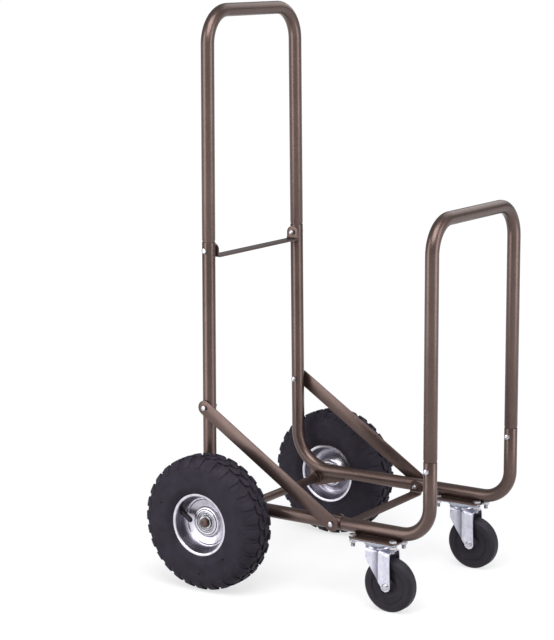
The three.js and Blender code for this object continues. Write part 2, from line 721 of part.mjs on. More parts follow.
// The pressed fork: a cup and crown over the wheel, and a cheek with a raised pad on each side.
function casterFork() {
  const [axleAt, backTop, nose] = [kingpinY - casterTrail, kingpinY + forkBack, kingpinY - forkNose];
  const noseZ = crownTopZ - forkSlope;
  const brow = kingpinY - kingpinHead / 2 - forkSheet;
  const foot = (radius) => Array.from({ length: footSteps + 1 }, (_, i) => {
    const angle = -Math.PI + footSweep * i / footSteps;
    return [axleAt + radius * Math.cos(angle), casterAxleZ + radius * Math.sin(angle)];
  });
  const cheek = [
    [backTop, crownTopZ], [brow, crownTopZ], [nose, noseZ],
    ...foot(forkFoot), [kingpinY + forkBack / 2, (crownTopZ + casterAxleZ) / 2],
  ];
  const padFoot = forkFoot - forkPad;
  const padBack = kingpinY - forkPadStart;
  const pad = [
    [padBack, crownBottomZ - forkSlope / 2], [nose + forkPad, noseZ - forkSheet],
    ...foot(padFoot), [padBack - forkPad, casterAxleZ + 2 * forkFoot],
  ];
  const crown = [
    [backTop, crownTopZ], [brow, crownTopZ], [nose, noseZ],
    [nose, noseZ - forkSheet], [brow, crownBottomZ], [backTop, crownBottomZ],
  ];
  const outer = forkGap + forkSheet;
  const place = [0, kingpinY, 0];
  const pinRadius = kingpinDiameter / 2 + slipGap;
  const oneCheek = join(
    slabX(cheek, forkGap, outer),
    slabX(pad, outer - forkSheet / 2, outer + forkPad));
  const whole = join(
    bothSides(oneCheek),
    slabX(crown, -outer, outer),
    ring(crownBottomZ, crownTopZ + cupHeight, pinRadius, cupRadius, 'z', shaftSides, place));
  const shank = rod(-2 * outer, 2 * outer, casterAxleDiameter / 2 + axleRunningGap, 'x', boltSides,
    [0, axleAt, casterAxleZ]);
  const pinHole = rod(crownBottomZ - forkSlope, crownTopZ + cupHeight, pinRadius, 'z', tubeSides, place);
  return cut(whole, shank, pinHole).translate([casterX, 0, 0]);
}

const casterPlace = [casterX, casterAxleY, casterAxleZ];

function casterTyre() {
  const [half, outer] = [casterWidth / 2, casterDiameter / 2];
  const inner = casterCoreRadius + slipGap;
  return turned([
    [-half, inner], [-half, outer - casterChamfer], [-half + casterChamfer, outer],
    [half - casterChamfer, outer], [half, outer - casterChamfer], [half, inner],
  ], 'x', wheelSides, casterPlace);
}

function casterCore() {
  const half = casterWidth / 2;
  const [web, hubHalf] = [half - casterFaceRecess, forkGap - slipGap];
  const bore = casterAxleDiameter / 2 + axleRunningGap;
  const hubFoot = casterHubRadius + casterHubFillet;
  return turned([
    [-hubHalf, bore], [-hubHalf, casterHubRadius], [-web, hubFoot], [-web, casterCoreRadius],
    [web, casterCoreRadius], [web, hubFoot], [hubHalf, casterHubRadius], [hubHalf, bore],
  ], 'x', wheelSides, casterPlace);
}

function casterAxle() {
  const face = forkGap + forkSheet + forkPad + slipGap;
  const [head, shank] = [casterAxleHead / 2, casterAxleDiameter / 2];
  const rim = face + casterAxleHeadHeight / 2;
  const top = face + casterAxleHeadHeight;
  return join(
    rod(-face - casterAxleEnd, face + casterAxleEnd, shank, 'x', boltSides, casterPlace),
    turned([[face, 0], [face, head], [rim, head], [top, head * 0.6], [top, 0]],
      'x', tubeSides, casterPlace),
    rod(-face - boltNutHeight, -face, head, 'x', boltSides, casterPlace));
}

// ---- The cart ----

const cart = new THREE.Group();

function add(name, geometry, material) {
  const mesh = new THREE.Mesh(geometry, material);
  mesh.name = name;
  cart.add(mesh);
}

function addMiddle(name, solid, material) {
  add(name, toGeometry(solid), material);
}

// A piece of the +X side and its mirror image on the -X side. tail tells copies apart.
function addPair(name, solid, material, tail = '') {
  const geometry = toGeometry(solid);
  add(`${name}_right${tail}`, geometry, material);
  add(`${name}_left${tail}`, mirrored(geometry), material);
}

const handleLegX = legX(handleBoltHeight);
const strutLegX = legX(strutBoltHeight);

addMiddle('handle_hoop', hoop(legX(handleSeamZ + slipGap), handleTopX, rearY,
  handleSeamZ + slipGap, handleTopZ, handleBendRadius, handleBoltHeight), paint);
addMiddle('front_hoop', hoop(railX, railX, frontY, frontHoopSeamZ + slipGap, frontHoopTopZ,
  frontHoopBendRadius, frontHoopBoltHeight), paint);
addPair('rear_frame', rearFrame(), paint);
addPair('front_frame', frontFrame(), paint);
addPair('strut', strut(), paint);
addMiddle('handle_cross_bar',
  crossBar(legX(handleBoltHeight + crossBarWidth / 2), rearY, handleBoltHeight), paint);
addMiddle('rail_cross_bar', crossBar(railX, railJointY, railHeight), paint);

addPair('handle_bolt', frameBolt(rearY, handleBoltHeight,
  tabX(handleLegX) - crossBarThickness, handleLegX + tubeRadius), boltZinc);
addPair('strut_bolt', frameBolt(rearY, strutBoltHeight, strutLegX - tubeRadius, strutOuterX), boltZinc);
addPair('rail_bolt', frameBolt(railJointY, railHeight,
  tabX(railX) - crossBarThickness, strutOuterX), boltZinc);
addPair('front_hoop_bolt', frameBolt(frontY, frontHoopBoltHeight,
  railX - tubeRadius, railX + tubeRadius), boltZinc);

addMiddle('axle', axle(), paint);
addPair('axle_bracket', axleBracket(), paint);
addPair('tyre', tyre(), tyreRubber);
addPair('inner_tube', innerTube(), tubeRubber);
addPair('outboard_rim', rimHalf(1, hubCentreOffset + hubLength / 2 - rimSheet), zinc);
addPair('inboard_rim', rimHalf(-1, hubCentreOffset - hubLength / 2 + 3 * rimSheet), zinc);
addPair('wheel_hub', hub(), zinc);
addPair('outboard_bearing', bearing(bearingOuterX, 1), bearingSteel);
addPair('inboard_bearing', bearing(bearingInnerX, -1), bearingSteel);
addPair('axle_washer', axleWasher(), boltZinc);
addPair('split_pin', splitPin(), boltZinc);

addPair('caster_mount', casterMount(), paint);
addPair('caster_plate', casterPlate(), zinc);
addPair('caster_fork', casterFork(), zinc);
addPair('caster_tyre', casterTyre(), casterRubber);
addPair('caster_core', casterCore(), casterRubber);
addPair('caster_axle', casterAxle(), zinc);
mountBoltPlaces.forEach((place, i) => addPair('mount_bolt', mountBolt(place), boltZinc, `_${i + 1}`));

export default cart;
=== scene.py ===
# %% [markdown]
# # A fireside log cart
#
# The cart is a frame of bent steel tube on two air-filled wheels and two swivel casters. Its sizes,
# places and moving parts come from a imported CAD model. This lesson gives each of its pieces a finished
# surface: real bends and edges, rubber tread, plated steel and a powder coat.
#
# The first cell loads that model. Each CAD node is an object at the origin with its place in its mesh,
# so a new piece needs no fitting: it is modelled where the node is.

# %% Load the frame
import json
import math

import bmesh
import bpy
from mathutils import Matrix, Vector


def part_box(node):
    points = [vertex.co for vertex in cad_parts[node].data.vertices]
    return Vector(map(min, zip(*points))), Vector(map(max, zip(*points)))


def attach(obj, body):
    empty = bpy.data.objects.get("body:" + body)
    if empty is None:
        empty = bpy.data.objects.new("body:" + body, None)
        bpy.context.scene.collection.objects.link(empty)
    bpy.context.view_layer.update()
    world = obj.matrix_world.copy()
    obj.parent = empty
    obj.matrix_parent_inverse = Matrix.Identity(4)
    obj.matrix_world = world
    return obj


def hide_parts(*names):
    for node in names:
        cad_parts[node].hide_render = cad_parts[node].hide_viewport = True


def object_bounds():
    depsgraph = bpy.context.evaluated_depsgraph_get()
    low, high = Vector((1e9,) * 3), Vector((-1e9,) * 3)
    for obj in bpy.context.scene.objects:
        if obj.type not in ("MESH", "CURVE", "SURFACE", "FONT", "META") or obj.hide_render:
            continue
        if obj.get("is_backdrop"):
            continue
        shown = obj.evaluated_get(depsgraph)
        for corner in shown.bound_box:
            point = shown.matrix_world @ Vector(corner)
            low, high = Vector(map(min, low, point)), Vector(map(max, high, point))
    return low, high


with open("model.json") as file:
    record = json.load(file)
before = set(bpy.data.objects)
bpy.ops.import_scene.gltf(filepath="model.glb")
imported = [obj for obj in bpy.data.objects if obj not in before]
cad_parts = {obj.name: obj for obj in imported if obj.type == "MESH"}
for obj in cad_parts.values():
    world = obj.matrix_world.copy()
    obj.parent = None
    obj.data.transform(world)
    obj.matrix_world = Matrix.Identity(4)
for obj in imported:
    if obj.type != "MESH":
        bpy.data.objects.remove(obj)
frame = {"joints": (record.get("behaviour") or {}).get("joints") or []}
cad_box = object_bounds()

# %% [markdown]
# ## Measures
#
# Workshop drawings are in millimetres, and so is this script. A mesh is made in millimetres and turned to
# metres when it is finished. Places that the CAD model holds are read from it, so a new size there carries
# over to here: the rails from the front frame's box, the joints from the row's hinges, and the bolts from
# the middle of their nodes.

# %% Read the main places from the frame
MM = 0.001


def box_of(node):
    """The lowest and highest corner of a CAD node, in millimetres."""
    low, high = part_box(node)
    return low / MM, high / MM


def middle_of(node):
    low, high = box_of(node)
    return (low + high) / 2


joint_place = {joint["name"]: Vector(joint["pos_m"]) / MM for joint in frame["joints"]}
wheel_centre = joint_place["big_wheel_right_spin"]
caster_centre = joint_place["caster_right_roll"]
kingpin = joint_place["caster_right_swivel"]

front_low, front_high = box_of("front_frame_right")
rear_low, rear_high = box_of("rear_frame_right")
tube_radius = (front_high.x - front_low.x) / 2
rail_x = middle_of("front_frame_right").x
rail_z = front_low.z + tube_radius
front_y = front_low.y + tube_radius
rear_y = rear_high.y - tube_radius
rail_seam_y = rear_low.y
handle_seam_z = rear_high.z
front_seam_z = front_high.z
handle_top_z = box_of("handle_hoop")[1].z - tube_radius
front_top_z = box_of("front_hoop")[1].z - tube_radius
handle_bolt = middle_of("handle_bolt_right")
strut_bolt = middle_of("strut_bolt_right")
rail_bolt = middle_of("rail_bolt_right")
print(f"tube {2 * tube_radius:.1f} mm, rails {2 * rail_x:.0f} mm apart and {rail_z:.0f} mm up")

# %% [markdown]
# ## The camera
#
# The photograph was taken from the cart's front left, a little above the handle. Its place, direction and
# focal length were found by matching the joints, wheels and tubes of the model to those in the picture.
# Blender's local X, Y and Z of a camera are its right, up and backward directions, so those three vectors
# are the columns of its rotation.

# %% Place the camera
picture_height = 640
focal_in_pixels = 2009.0
sensor = 36
camera_place = Vector((-3156.5, -1962.5, 1174.5)) * MM
camera_azimuth, camera_elevation, camera_roll = (math.radians(a) for a in (-56.19, 10.42, -0.31))


def camera_axes(azimuth, elevation, roll):
    """Right, up and backward directions of a camera that looks at the object from a direction."""
    level = math.cos(elevation)
    back = Vector((math.sin(azimuth) * level, -math.cos(azimuth) * level, math.sin(elevation)))
    right = (-back).cross(Vector((0, 0, 1))).normalized()
    turn = Matrix.Rotation(roll, 3, back)
    return turn @ right, turn @ back.cross(right), back


camera_data = bpy.data.cameras.new("camera")
camera_data.sensor_width = sensor
camera_data.lens = focal_in_pixels * sensor / picture_height
camera_data.clip_end = 200
camera = bpy.data.objects.new("camera", camera_data)
bpy.context.scene.collection.objects.link(camera)
rotation = Matrix(camera_axes(camera_azimuth, camera_elevation, camera_roll)).transposed()
camera.matrix_world = Matrix.Translation(camera_place) @ rotation.to_4x4()
bpy.context.scene.camera = camera
print(f"lens {camera_data.lens:.1f} mm")

# %% [markdown]
# ## Node trees
#
# Materials and Geometry Nodes are both trees of nodes. One function adds a node to either: it sets the
# node's own settings, and fills each input with a value or with another node's output. Geometry trees get
# named inputs, as a tool in a workshop has named dials, and a modifier sets them by their identifiers.

# %% Helpers for node trees
def add_node(tree, kind, inputs=None, **settings):
    """Adds a node with its settings. An input is a value, or an output to link, by name or number."""
    made = tree.nodes.new(kind)
    for name, value in settings.items():
        setattr(made, name, value)
    for socket, value in (inputs or {}).items():
        if isinstance(value, bpy.types.NodeSocket):
            tree.links.new(value, made.inputs[socket])
        else:
            made.inputs[socket].default_value = value
    return made


def linear(colour):
    """An sRGB hex colour as the linear red, green, blue and alpha that Blender computes with."""
    parts = [int(colour[i:i + 2], 16) / 255 for i in (1, 3, 5)]
    return [c / 12.92 if c <= 0.04045 else ((c + 0.055) / 1.055) ** 2.4 for c in parts] + [1]


def per_mm(size):
    """The scale of a pattern whose features are a size in millimetres apart."""
    return 1 / (size * MM)


def set_stops(ramp, *stops):
    """Gives a colour ramp its stops, each a place and a hex colour."""
    elements = ramp.color_ramp.elements
    while len(elements) < len(stops):
        elements.new(1)
    for element, (place, colour) in zip(elements, stops):
        element.position = place
        element.color = linear(colour)


SOCKET_KINDS = {float: "NodeSocketFloat", int: "NodeSocketInt",
                bpy.types.Material: "NodeSocketMaterial", bpy.types.Object: "NodeSocketObject"}


def new_shape_tree(name, **inputs):
    """A geometry tree that takes geometry and the named inputs; returns it with its group input."""
    tree = bpy.data.node_groups.new(name, "GeometryNodeTree")
    tree.interface.new_socket("Geometry", in_out="OUTPUT", socket_type="NodeSocketGeometry")
    tree.interface.new_socket("Geometry", in_out="INPUT", socket_type="NodeSocketGeometry")
    for label, kind in inputs.items():
        tree.interface.new_socket(label, in_out="INPUT", socket_type=SOCKET_KINDS[kind])
    return tree, add_node(tree, "NodeGroupInput").outputs


def end_tree(tree, geometry, material):
    """Ends a geometry tree in real meshes with a material."""
    real = add_node(tree, "GeometryNodeRealizeInstances", {0: geometry}).outputs[0]
    dressed = add_node(tree, "GeometryNodeSetMaterial", {"Geometry": real, "Material": material})
    add_node(tree, "NodeGroupOutput", {0: dressed.outputs[0]})


def evaluated_copy(carrier):
    """The mesh that an object's modifiers make, without the object."""
    bpy.context.scene.collection.objects.link(carrier)
    depsgraph = bpy.context.evaluated_depsgraph_get()
    mesh = bpy.data.meshes.new_from_object(carrier.evaluated_get(depsgraph))
    bpy.data.objects.remove(carrier)
    return mesh


def grown(tree, start=None, **values):
    """The plain mesh that a geometry tree makes from a start mesh and values for its named inputs."""
    carrier = bpy.data.objects.new(tree.name, start or bpy.data.meshes.new(tree.name))
    modifier = carrier.modifiers.new(tree.name, "NODES")
    modifier.node_group = tree
    for item in tree.interface.items_tree:
        if item.in_out == "INPUT" and item.name in values:
            modifier[item.identifier] = values[item.name]
    return evaluated_copy(carrier)


def sheet_bevel(width):
    """The settings of a Bevel modifier that rounds only the sharp edges."""
    return {"width": width, "segments": 2, "limit_method": "ANGLE", "angle_limit": 1.0}


def modified(mesh, **modifiers):
    """A mesh after modifiers, each given as KIND=its settings."""
    carrier = bpy.data.objects.new("carrier", mesh)
    for kind, settings in modifiers.items():
        modifier = carrier.modifiers.new(kind, kind)
        for name, value in settings.items():
            setattr(modifier, name, value)
    return evaluated_copy(carrier)


# %% [markdown]
# ## The frame's finish: powder coat
#
# The tubes, bars and plates wear a brown polyester powder coat with a fine bronze flake. It is sprayed on
# dry and melted in an oven, so it levels out less than wet paint does: light glides over it in broad soft
# bands with a faint orange-peel ripple. The flake makes it partly metallic. A real flake is under 0.1 mm,
# too fine for any view of the whole cart, so it is drawn ten times as coarse.

# %% Powder coat
def new_material(name):
    """An empty material; returns it with its tree, its shader and the object's own coordinates."""
    material = bpy.data.materials.new(name)
    material.use_nodes = True
    tree = material.node_tree
    where = add_node(tree, "ShaderNodeTexCoord").outputs["Object"]
    return material, tree, tree.nodes["Principled BSDF"], where


def powder_coat():
    material, tree, shader, where = new_material("brown_powder_coat")
    cloud = add_node(tree, "ShaderNodeTexNoise", {"Vector": where, "Scale": per_mm(60), "Detail": 3.0})
    tone = add_node(tree, "ShaderNodeValToRGB", {"Fac": cloud.outputs["Fac"]})
    set_stops(tone, (0.3, "#564541"), (0.7, "#63524d"))
    flake = add_node(tree, "ShaderNodeTexVoronoi", {"Vector": where, "Scale": per_mm(0.9)})
    glint = add_node(tree, "ShaderNodeValToRGB", {"Fac": flake.outputs["Color"]})
    set_stops(glint, (0.2, "#4c3d39"), (0.55, "#5c4b46"), (0.95, "#70605b"))
    mixed = add_node(tree, "ShaderNodeMix", {0: 0.4, 6: tone.outputs[0], 7: glint.outputs[0]},
                     data_type="RGBA")
    tree.links.new(mixed.outputs[2], shader.inputs["Base Color"])
    sheen = add_node(tree, "ShaderNodeMapRange", {"Value": cloud.outputs["Fac"], "To Min": 0.31,
                                                  "To Max": 0.37})
    tree.links.new(sheen.outputs[0], shader.inputs["Roughness"])
    peel = add_node(tree, "ShaderNodeTexNoise", {"Vector": where, "Scale": per_mm(2.2), "Detail": 1.0})
    bump = add_node(tree, "ShaderNodeBump", {"Height": peel.outputs["Fac"], "Strength": 0.2,
                                             "Distance": 0.06 * MM})
    tree.links.new(bump.outputs[0], shader.inputs["Normal"])
    shader.inputs["Metallic"].default_value = 0.8
    shader.inputs["Coat Weight"].default_value = 0.1
    shader.inputs["Coat Roughness"].default_value = 0.25
    return material


coat = powder_coat()
print("material:", coat.name)

# %% [markdown]
# ## Plated steel
#
# The rims, the casters and the fasteners are zinc-plated steel. Zinc is a metal, so its colour is in its
# reflections. The rims are pressed and spun, which leaves fine rings round the axle: those follow the
# distance from the axle, worked out from the coordinates. Broad ring tones go with them as painted
# reflection and painted shade: bright on the rim's lip, step and boss, dark on its steep wall. The casters
# are pressed from rolled sheet, with a cooler, cloudier plate. Their fork gets a painted highlight along
# its fold and a painted shade band beside it, which a ramp along the cart's length gives. The bolts are
# cold-forged, small and plain grey.

# %% Zinc plate
def zinc(name, dark, light, cloud_size, roughness, ring_centre=None, painted_ring_shades=(), painted_fold_shades=()):
    """Zinc plate between two tones, with clouds of a size in millimetres and, on spun pieces, fine rings.

    The ring tones are painted reflection and shade in broad rings, as pairs of (radius in mm, colour), and
    the fold tones a painted highlight and shade band on a folded sheet, as pairs of (place along Y in mm,
    colour)."""
    material, tree, shader, where = new_material(name)
    cloud = add_node(tree, "ShaderNodeTexNoise", {"Vector": where, "Scale": per_mm(cloud_size),
                                                  "Detail": 4.0})
    tone = add_node(tree, "ShaderNodeValToRGB", {"Fac": cloud.outputs["Fac"]})
    set_stops(tone, (0.32, dark), (0.68, light))
    colour = tone.outputs[0]
    if ring_centre is None:
        grain = add_node(tree, "ShaderNodeTexNoise", {"Vector": where, "Scale": per_mm(0.8), "Detail": 2.0})
    else:
        centred = add_node(tree, "ShaderNodeVectorMath", {0: where, 1: [0, *(-ring_centre.yz * MM)]})
        across = add_node(tree, "ShaderNodeVectorMath", {0: centred.outputs[0], 1: (0, 1, 1)},
                          operation="MULTIPLY")
        radius = add_node(tree, "ShaderNodeVectorMath", {0: across.outputs[0]}, operation="LENGTH")
        grain = add_node(tree, "ShaderNodeTexNoise", {"W": radius.outputs["Value"], "Scale": per_mm(0.7),
                                                      "Detail": 2.0}, noise_dimensions="1D")
    # The ring and fold ramps multiply painted reflection and painted shade into the zinc colour.
    shadings = []
    if painted_ring_shades:
        widest = painted_ring_shades[-1][0]
        share = add_node(tree, "ShaderNodeMath", {0: radius.outputs["Value"], 1: widest * MM},
                         operation="DIVIDE")
        shadings.append((share, [(size / widest, shade) for size, shade in painted_ring_shades]))
    if painted_fold_shades:
        start, end = painted_fold_shades[0][0], painted_fold_shades[-1][0]
        along = add_node(tree, "ShaderNodeSeparateXYZ", {"Vector": where}).outputs["Y"]
        share = add_node(tree, "ShaderNodeMapRange", {"Value": along, "From Min": start * MM,
                                                      "From Max": end * MM})
        shadings.append((share, [((size - start) / (end - start), shade) for size, shade in painted_fold_shades]))
    for share, stops in shadings:
        ramp = add_node(tree, "ShaderNodeValToRGB", {"Fac": share.outputs[0]})
        set_stops(ramp, *stops)
        shaded = add_node(tree, "ShaderNodeMix", {0: 1.0, 6: colour, 7: ramp.outputs[0]}, data_type="RGBA",
                          blend_type="MULTIPLY")
        colour = shaded.outputs[2]
    tree.links.new(colour, shader.inputs["Base Color"])
    polish = add_node(tree, "ShaderNodeMapRange", {"Value": grain.outputs["Fac"], "To Min": 0.8 * roughness,
                                                   "To Max": 1.3 * roughness})
    tree.links.new(polish.outputs[0], shader.inputs["Roughness"])
    bump = add_node(tree, "ShaderNodeBump", {"Height": grain.outputs["Fac"], "Strength": 0.1,
                                             "Distance": 0.02 * MM})
    tree.links.new(bump.outputs[0], shader.inputs["Normal"])
    shader.inputs["Metallic"].default_value = 1
    return material


# Painted reflection and shade on the rim: a bright boss, step and lip, a lighter dish and a dark wall.
rim_painted_reflection_rings = [(0, "#f4f4f8"), (27, "#f4f4f8"), (28.5, "#d4d3da"), (43.6, "#d4d3da"), (44.8, "#e0e0e6"),
             (47, "#e0e0e6"), (48, "#8b8991"), (53.4, "#8b8991"), (54.8, "#eeeef3"), (62, "#eeeef3")]
rim_zinc = zinc("bright_zinc_on_spun_steel", "#c8c5ca", "#eae7eb", 14, 0.27, wheel_centre, rim_painted_reflection_rings)
caster_zinc = zinc("blue_zinc_on_pressed_steel", "#9c9fac", "#b6b9c5", 9, 0.36)
fold_y = kingpin.y - 10
# Painted highlight along the fork's fold and a painted shade band just behind it.
fork_zinc = zinc("blue_zinc_on_folded_fork", "#c8c7d0", "#e2e1e9", 9, 0.36, painted_fold_shades=[
    (fold_y - 3, "#f6f6fb"), (fold_y - 0.8, "#ffffff"), (fold_y + 0.8, "#96969f"), (fold_y + 4, "#b0b0b9"),
    (fold_y + 14, "#ececf2"), (fold_y + 26, "#f4f4f9")])
bolt_zinc = zinc("bright_zinc_on_forged_bolts", "#a5a3a8", "#cfcdd2", 5, 0.3)
ground_steel = zinc("ground_bearing_steel", "#8b8b92", "#b4b4bb", 3, 0.24, wheel_centre)
print("materials:", rim_zinc.name, caster_zinc.name, fork_zinc.name, bolt_zinc.name, ground_steel.name)

# %% [markdown]
# ## Rubber and plastic
#
# Tyre rubber is natural and synthetic rubber filled with carbon black, cured in a mould. It is never quite
# black: a thin bloom of wax and dust turns it a bluish grey, in soft clouds, and its surface copies the
# mould's fine grain. The bloom is dull, so the shine is well under that of clean plastic. The caster
# tyres are a harder, smoother rubber, the inner tube is smooth butyl, and the caster cores are moulded
# polypropylene.

# %% Rubber and plastic
def rubber(name, dark, light, roughness, shine, grain_size, grain_depth):
    """Moulded black rubber or plastic between two tones, with a grain of a size and depth in millimetres."""
    material, tree, shader, where = new_material(name)
    bloom = add_node(tree, "ShaderNodeTexNoise", {"Vector": where, "Scale": per_mm(22), "Detail": 5.0,
                                                  "Roughness": 0.6})
    tone = add_node(tree, "ShaderNodeValToRGB", {"Fac": bloom.outputs["Fac"]})
    set_stops(tone, (0.3, dark), (0.72, light))
    tree.links.new(tone.outputs[0], shader.inputs["Base Color"])
    sheen = add_node(tree, "ShaderNodeMapRange", {"Value": bloom.outputs["Fac"], "To Min": roughness - 0.08,
                                                  "To Max": roughness + 0.08})
    tree.links.new(sheen.outputs[0], shader.inputs["Roughness"])
    grain = add_node(tree, "ShaderNodeTexNoise", {"Vector": where, "Scale": per_mm(grain_size),
                                                  "Detail": 3.0})
    bump = add_node(tree, "ShaderNodeBump", {"Height": grain.outputs["Fac"], "Strength": 0.5,
                                             "Distance": grain_depth * MM})
    tree.links.new(bump.outputs[0], shader.inputs["Normal"])
    shader.inputs["Specular IOR Level"].default_value = shine
    return material


tyre_rubber = rubber("carbon_black_tyre_rubber", "#201b24", "#302b36", 0.68, 0.2, 1.4, 0.12)
caster_rubber = rubber("hard_caster_rubber", "#211c24", "#2e2932", 0.55, 0.22, 1.0, 0.06)
butyl = rubber("smooth_butyl_rubber", "#0f0e11", "#18161b", 0.5, 0.25, 0.8, 0.03)
core_plastic = rubber("moulded_polypropylene", "#1e1a21", "#2a252d", 0.5, 0.22, 1.2, 0.04)
print("materials:", tyre_rubber.name, caster_rubber.name, butyl.name, core_plastic.name)

# %% [markdown]
# ## Turned and flat pieces
#
# Most of a wheel is round, so it is turned: a closed outline of distances along the axle and radii is
# swept round it, as on a lathe. Plates and bars are a flat outline with a thickness. No metal edge is
# perfectly sharp, so outlines get rounded corners and the cut edges of plates a narrow bevel, which
# catches the light as the real edge does.

# %% Helpers that make meshes
AXIS_X = Vector((1, 0, 0))
AXIS_Z = Vector((0, 0, 1))
LATHE_STEPS = 96
CORNER_STEPS = 4
SHARP = math.radians(38)


def rounded(corners, radius, closed=True):
    """An outline with its corners rounded. A corner can carry its own radius as a third value."""
    outline = []
    for i, corner in enumerate(corners):
        here = Vector(corner[:2])
        own = corner[2] if len(corner) > 2 else radius
        if own == 0 or (not closed and i in (0, len(corners) - 1)):
            outline.append(here)
            continue
        to_before = Vector(corners[i - 1][:2]) - here
        to_after = Vector(corners[(i + 1) % len(corners)][:2]) - here
        half = to_before.angle(to_after) / 2
        if half > math.radians(88):
            outline.append(here)
            continue
        reach = min(own / math.tan(half), 0.48 * to_before.length, 0.48 * to_after.length)
        arc = reach * math.tan(half)
        centre = here + (to_before.normalized() + to_after.normalized()).normalized() * (arc / math.sin(half))
        start = here + to_before.normalized() * reach - centre
        turn = start.angle_signed(here + to_after.normalized() * reach - centre)
        for k in range(CORNER_STEPS + 1):
            outline.append(centre + Matrix.Rotation(-turn * k / CORNER_STEPS, 2) @ start)
    return outline


def circle_angles(count):
    """Angles evenly spaced round a full circle."""
    return [2 * math.pi * k / count for k in range(count)]


def join_rings(shell, here, after, steps):
    """Faces between two rings of points. A ring of one point is the tip of a fan."""
    for k in range(steps if len(here) + len(after) > 2 else 0):
        corners = [here[k % len(here)], here[(k + 1) % len(here)],
                   after[(k + 1) % len(after)], after[k % len(after)]]
        shell.faces.new(dict.fromkeys(corners))


def join_rows(shell, rows):
    """Faces between the neighbouring rows of a grid of points."""
    for here, after in zip(rows, rows[1:]):
        for k in range(len(here) - 1):
            shell.faces.new((here[k], here[k + 1], after[k + 1], after[k]))


def as_mesh(shell, material):
    """A mesh from a bmesh, with its faces turned outwards."""
    bmesh.ops.recalc_face_normals(shell, faces=shell.faces)
    mesh = bpy.data.meshes.new("mesh")
    shell.to_mesh(mesh)
    shell.free()
    mesh.materials.append(material)
    return mesh


def lathe(outline, material, place=Vector(), axis=AXIS_X, steps=LATHE_STEPS):
    """A solid turned round an axis through a place, from an outline of (along, radius)."""
    shell = bmesh.new()
    turn = Matrix.Translation(place) @ AXIS_X.rotation_difference(axis).to_matrix().to_4x4()
    rings = []
    for along, radius in outline:
        around = steps if radius > 1e-4 else 1
        rings.append([shell.verts.new(turn @ Vector((along, radius * math.cos(a), radius * math.sin(a))))
                      for a in circle_angles(steps)[:around]])
    for here, after in zip(rings, rings[1:] + rings[:1]):
        join_rings(shell, here, after, steps)
    return as_mesh(shell, material)


def soften(shell, width, segments=2):
    """Bevels the edges of a shell that are sharper than 45 degrees."""
    edges = [e for e in shell.edges if len(e.link_faces) == 2 and e.calc_face_angle(0) > math.radians(45)]
    bmesh.ops.bevel(shell, geom=edges, offset=width, segments=segments, profile=0.5, affect="EDGES",
                    clamp_overlap=True)


def plate(outline, material, low, high, across, up, edge=0.5):
    """A flat outline of (across, up) given a thickness from low to high along the third direction."""
    shell = bmesh.new()
    through = across.cross(up)
    rim = [shell.verts.new(across * a + up * b + through * low) for a, b in outline]
    face = shell.faces.new(rim)
    made = bmesh.ops.extrude_face_region(shell, geom=[face])
    moved = [v for v in made["geom"] if isinstance(v, bmesh.types.BMVert)]
    bmesh.ops.translate(shell, verts=moved, vec=through * (high - low))
    bmesh.ops.recalc_face_normals(shell, faces=shell.faces)
    soften(shell, edge)
    return as_mesh(shell, material)


def joined(*meshes):
    """One mesh that holds the shapes of several, with the first one's material."""
    shell = bmesh.new()
    for mesh in meshes:
        shell.from_mesh(mesh)
    whole = bpy.data.meshes.new("joined")
    shell.to_mesh(whole)
    shell.free()
    whole.materials.append(meshes[0].materials[0])
    return whole


def mirrored(mesh):
    """The mirror image of a mesh on the other side of the cart."""
    copy = mesh.copy()
    copy.transform(Matrix.Diagonal((-1, 1, 1, 1)))
    copy.flip_normals()
    return copy


# %% [markdown]
# ## Handing a piece over
#
# Every finished piece rides on a CAD body, so that it moves as the real one does, and the CAD nodes it
# stands for are hidden. Pieces come in pairs: the right-hand one is modelled and the left-hand one is its
# mirror image, with the same names but for the side.

# %% Helpers that hand pieces over
def hand_over(name, mesh, body, slot, *nodes):
    """Makes a mesh in millimetres the finished piece that rides on a body and stands for CAD nodes."""
    mesh.transform(Matrix.Scale(MM, 4))
    mesh.shade_smooth()
    mesh.set_sharp_from_angle(angle=SHARP)
    piece = bpy.data.objects.new(name, mesh)
    bpy.context.scene.collection.objects.link(piece)
    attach(piece, body)
    if nodes:
        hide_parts(*nodes)
    print(f"{name}: {len(mesh.polygons)} faces, rides on {body}")


def hand_over_pair(name, mesh, body, slot, *nodes):
    """The same for a right-hand mesh and its mirror image. A body with sides ends in an underscore."""
    for side, own in (("left", mirrored(mesh)), ("right", mesh)):
        own_body = body + side if body.endswith("_") else body
        hand_over(f"{name}_{side}", own, own_body, slot, *(f"{node}_{side}" for node in nodes))


# %% [markdown]
# ## The tubes
#
# The frame is six lengths of 25 mm tube, bent round formers. Each one follows a rule: straight runs with a
# round bend of one radius at each corner. That is a job for Geometry Nodes. The start mesh holds only the
# corners, joined by edges. The tree turns it into a curve, rounds each corner by that corner's own bend
# radius, and sweeps a circle along it. Every corner also carries the tube's radius there, so that an end
# can narrow to the neck that slides into the next tube. Solidify then gives the open tube its steel wall.

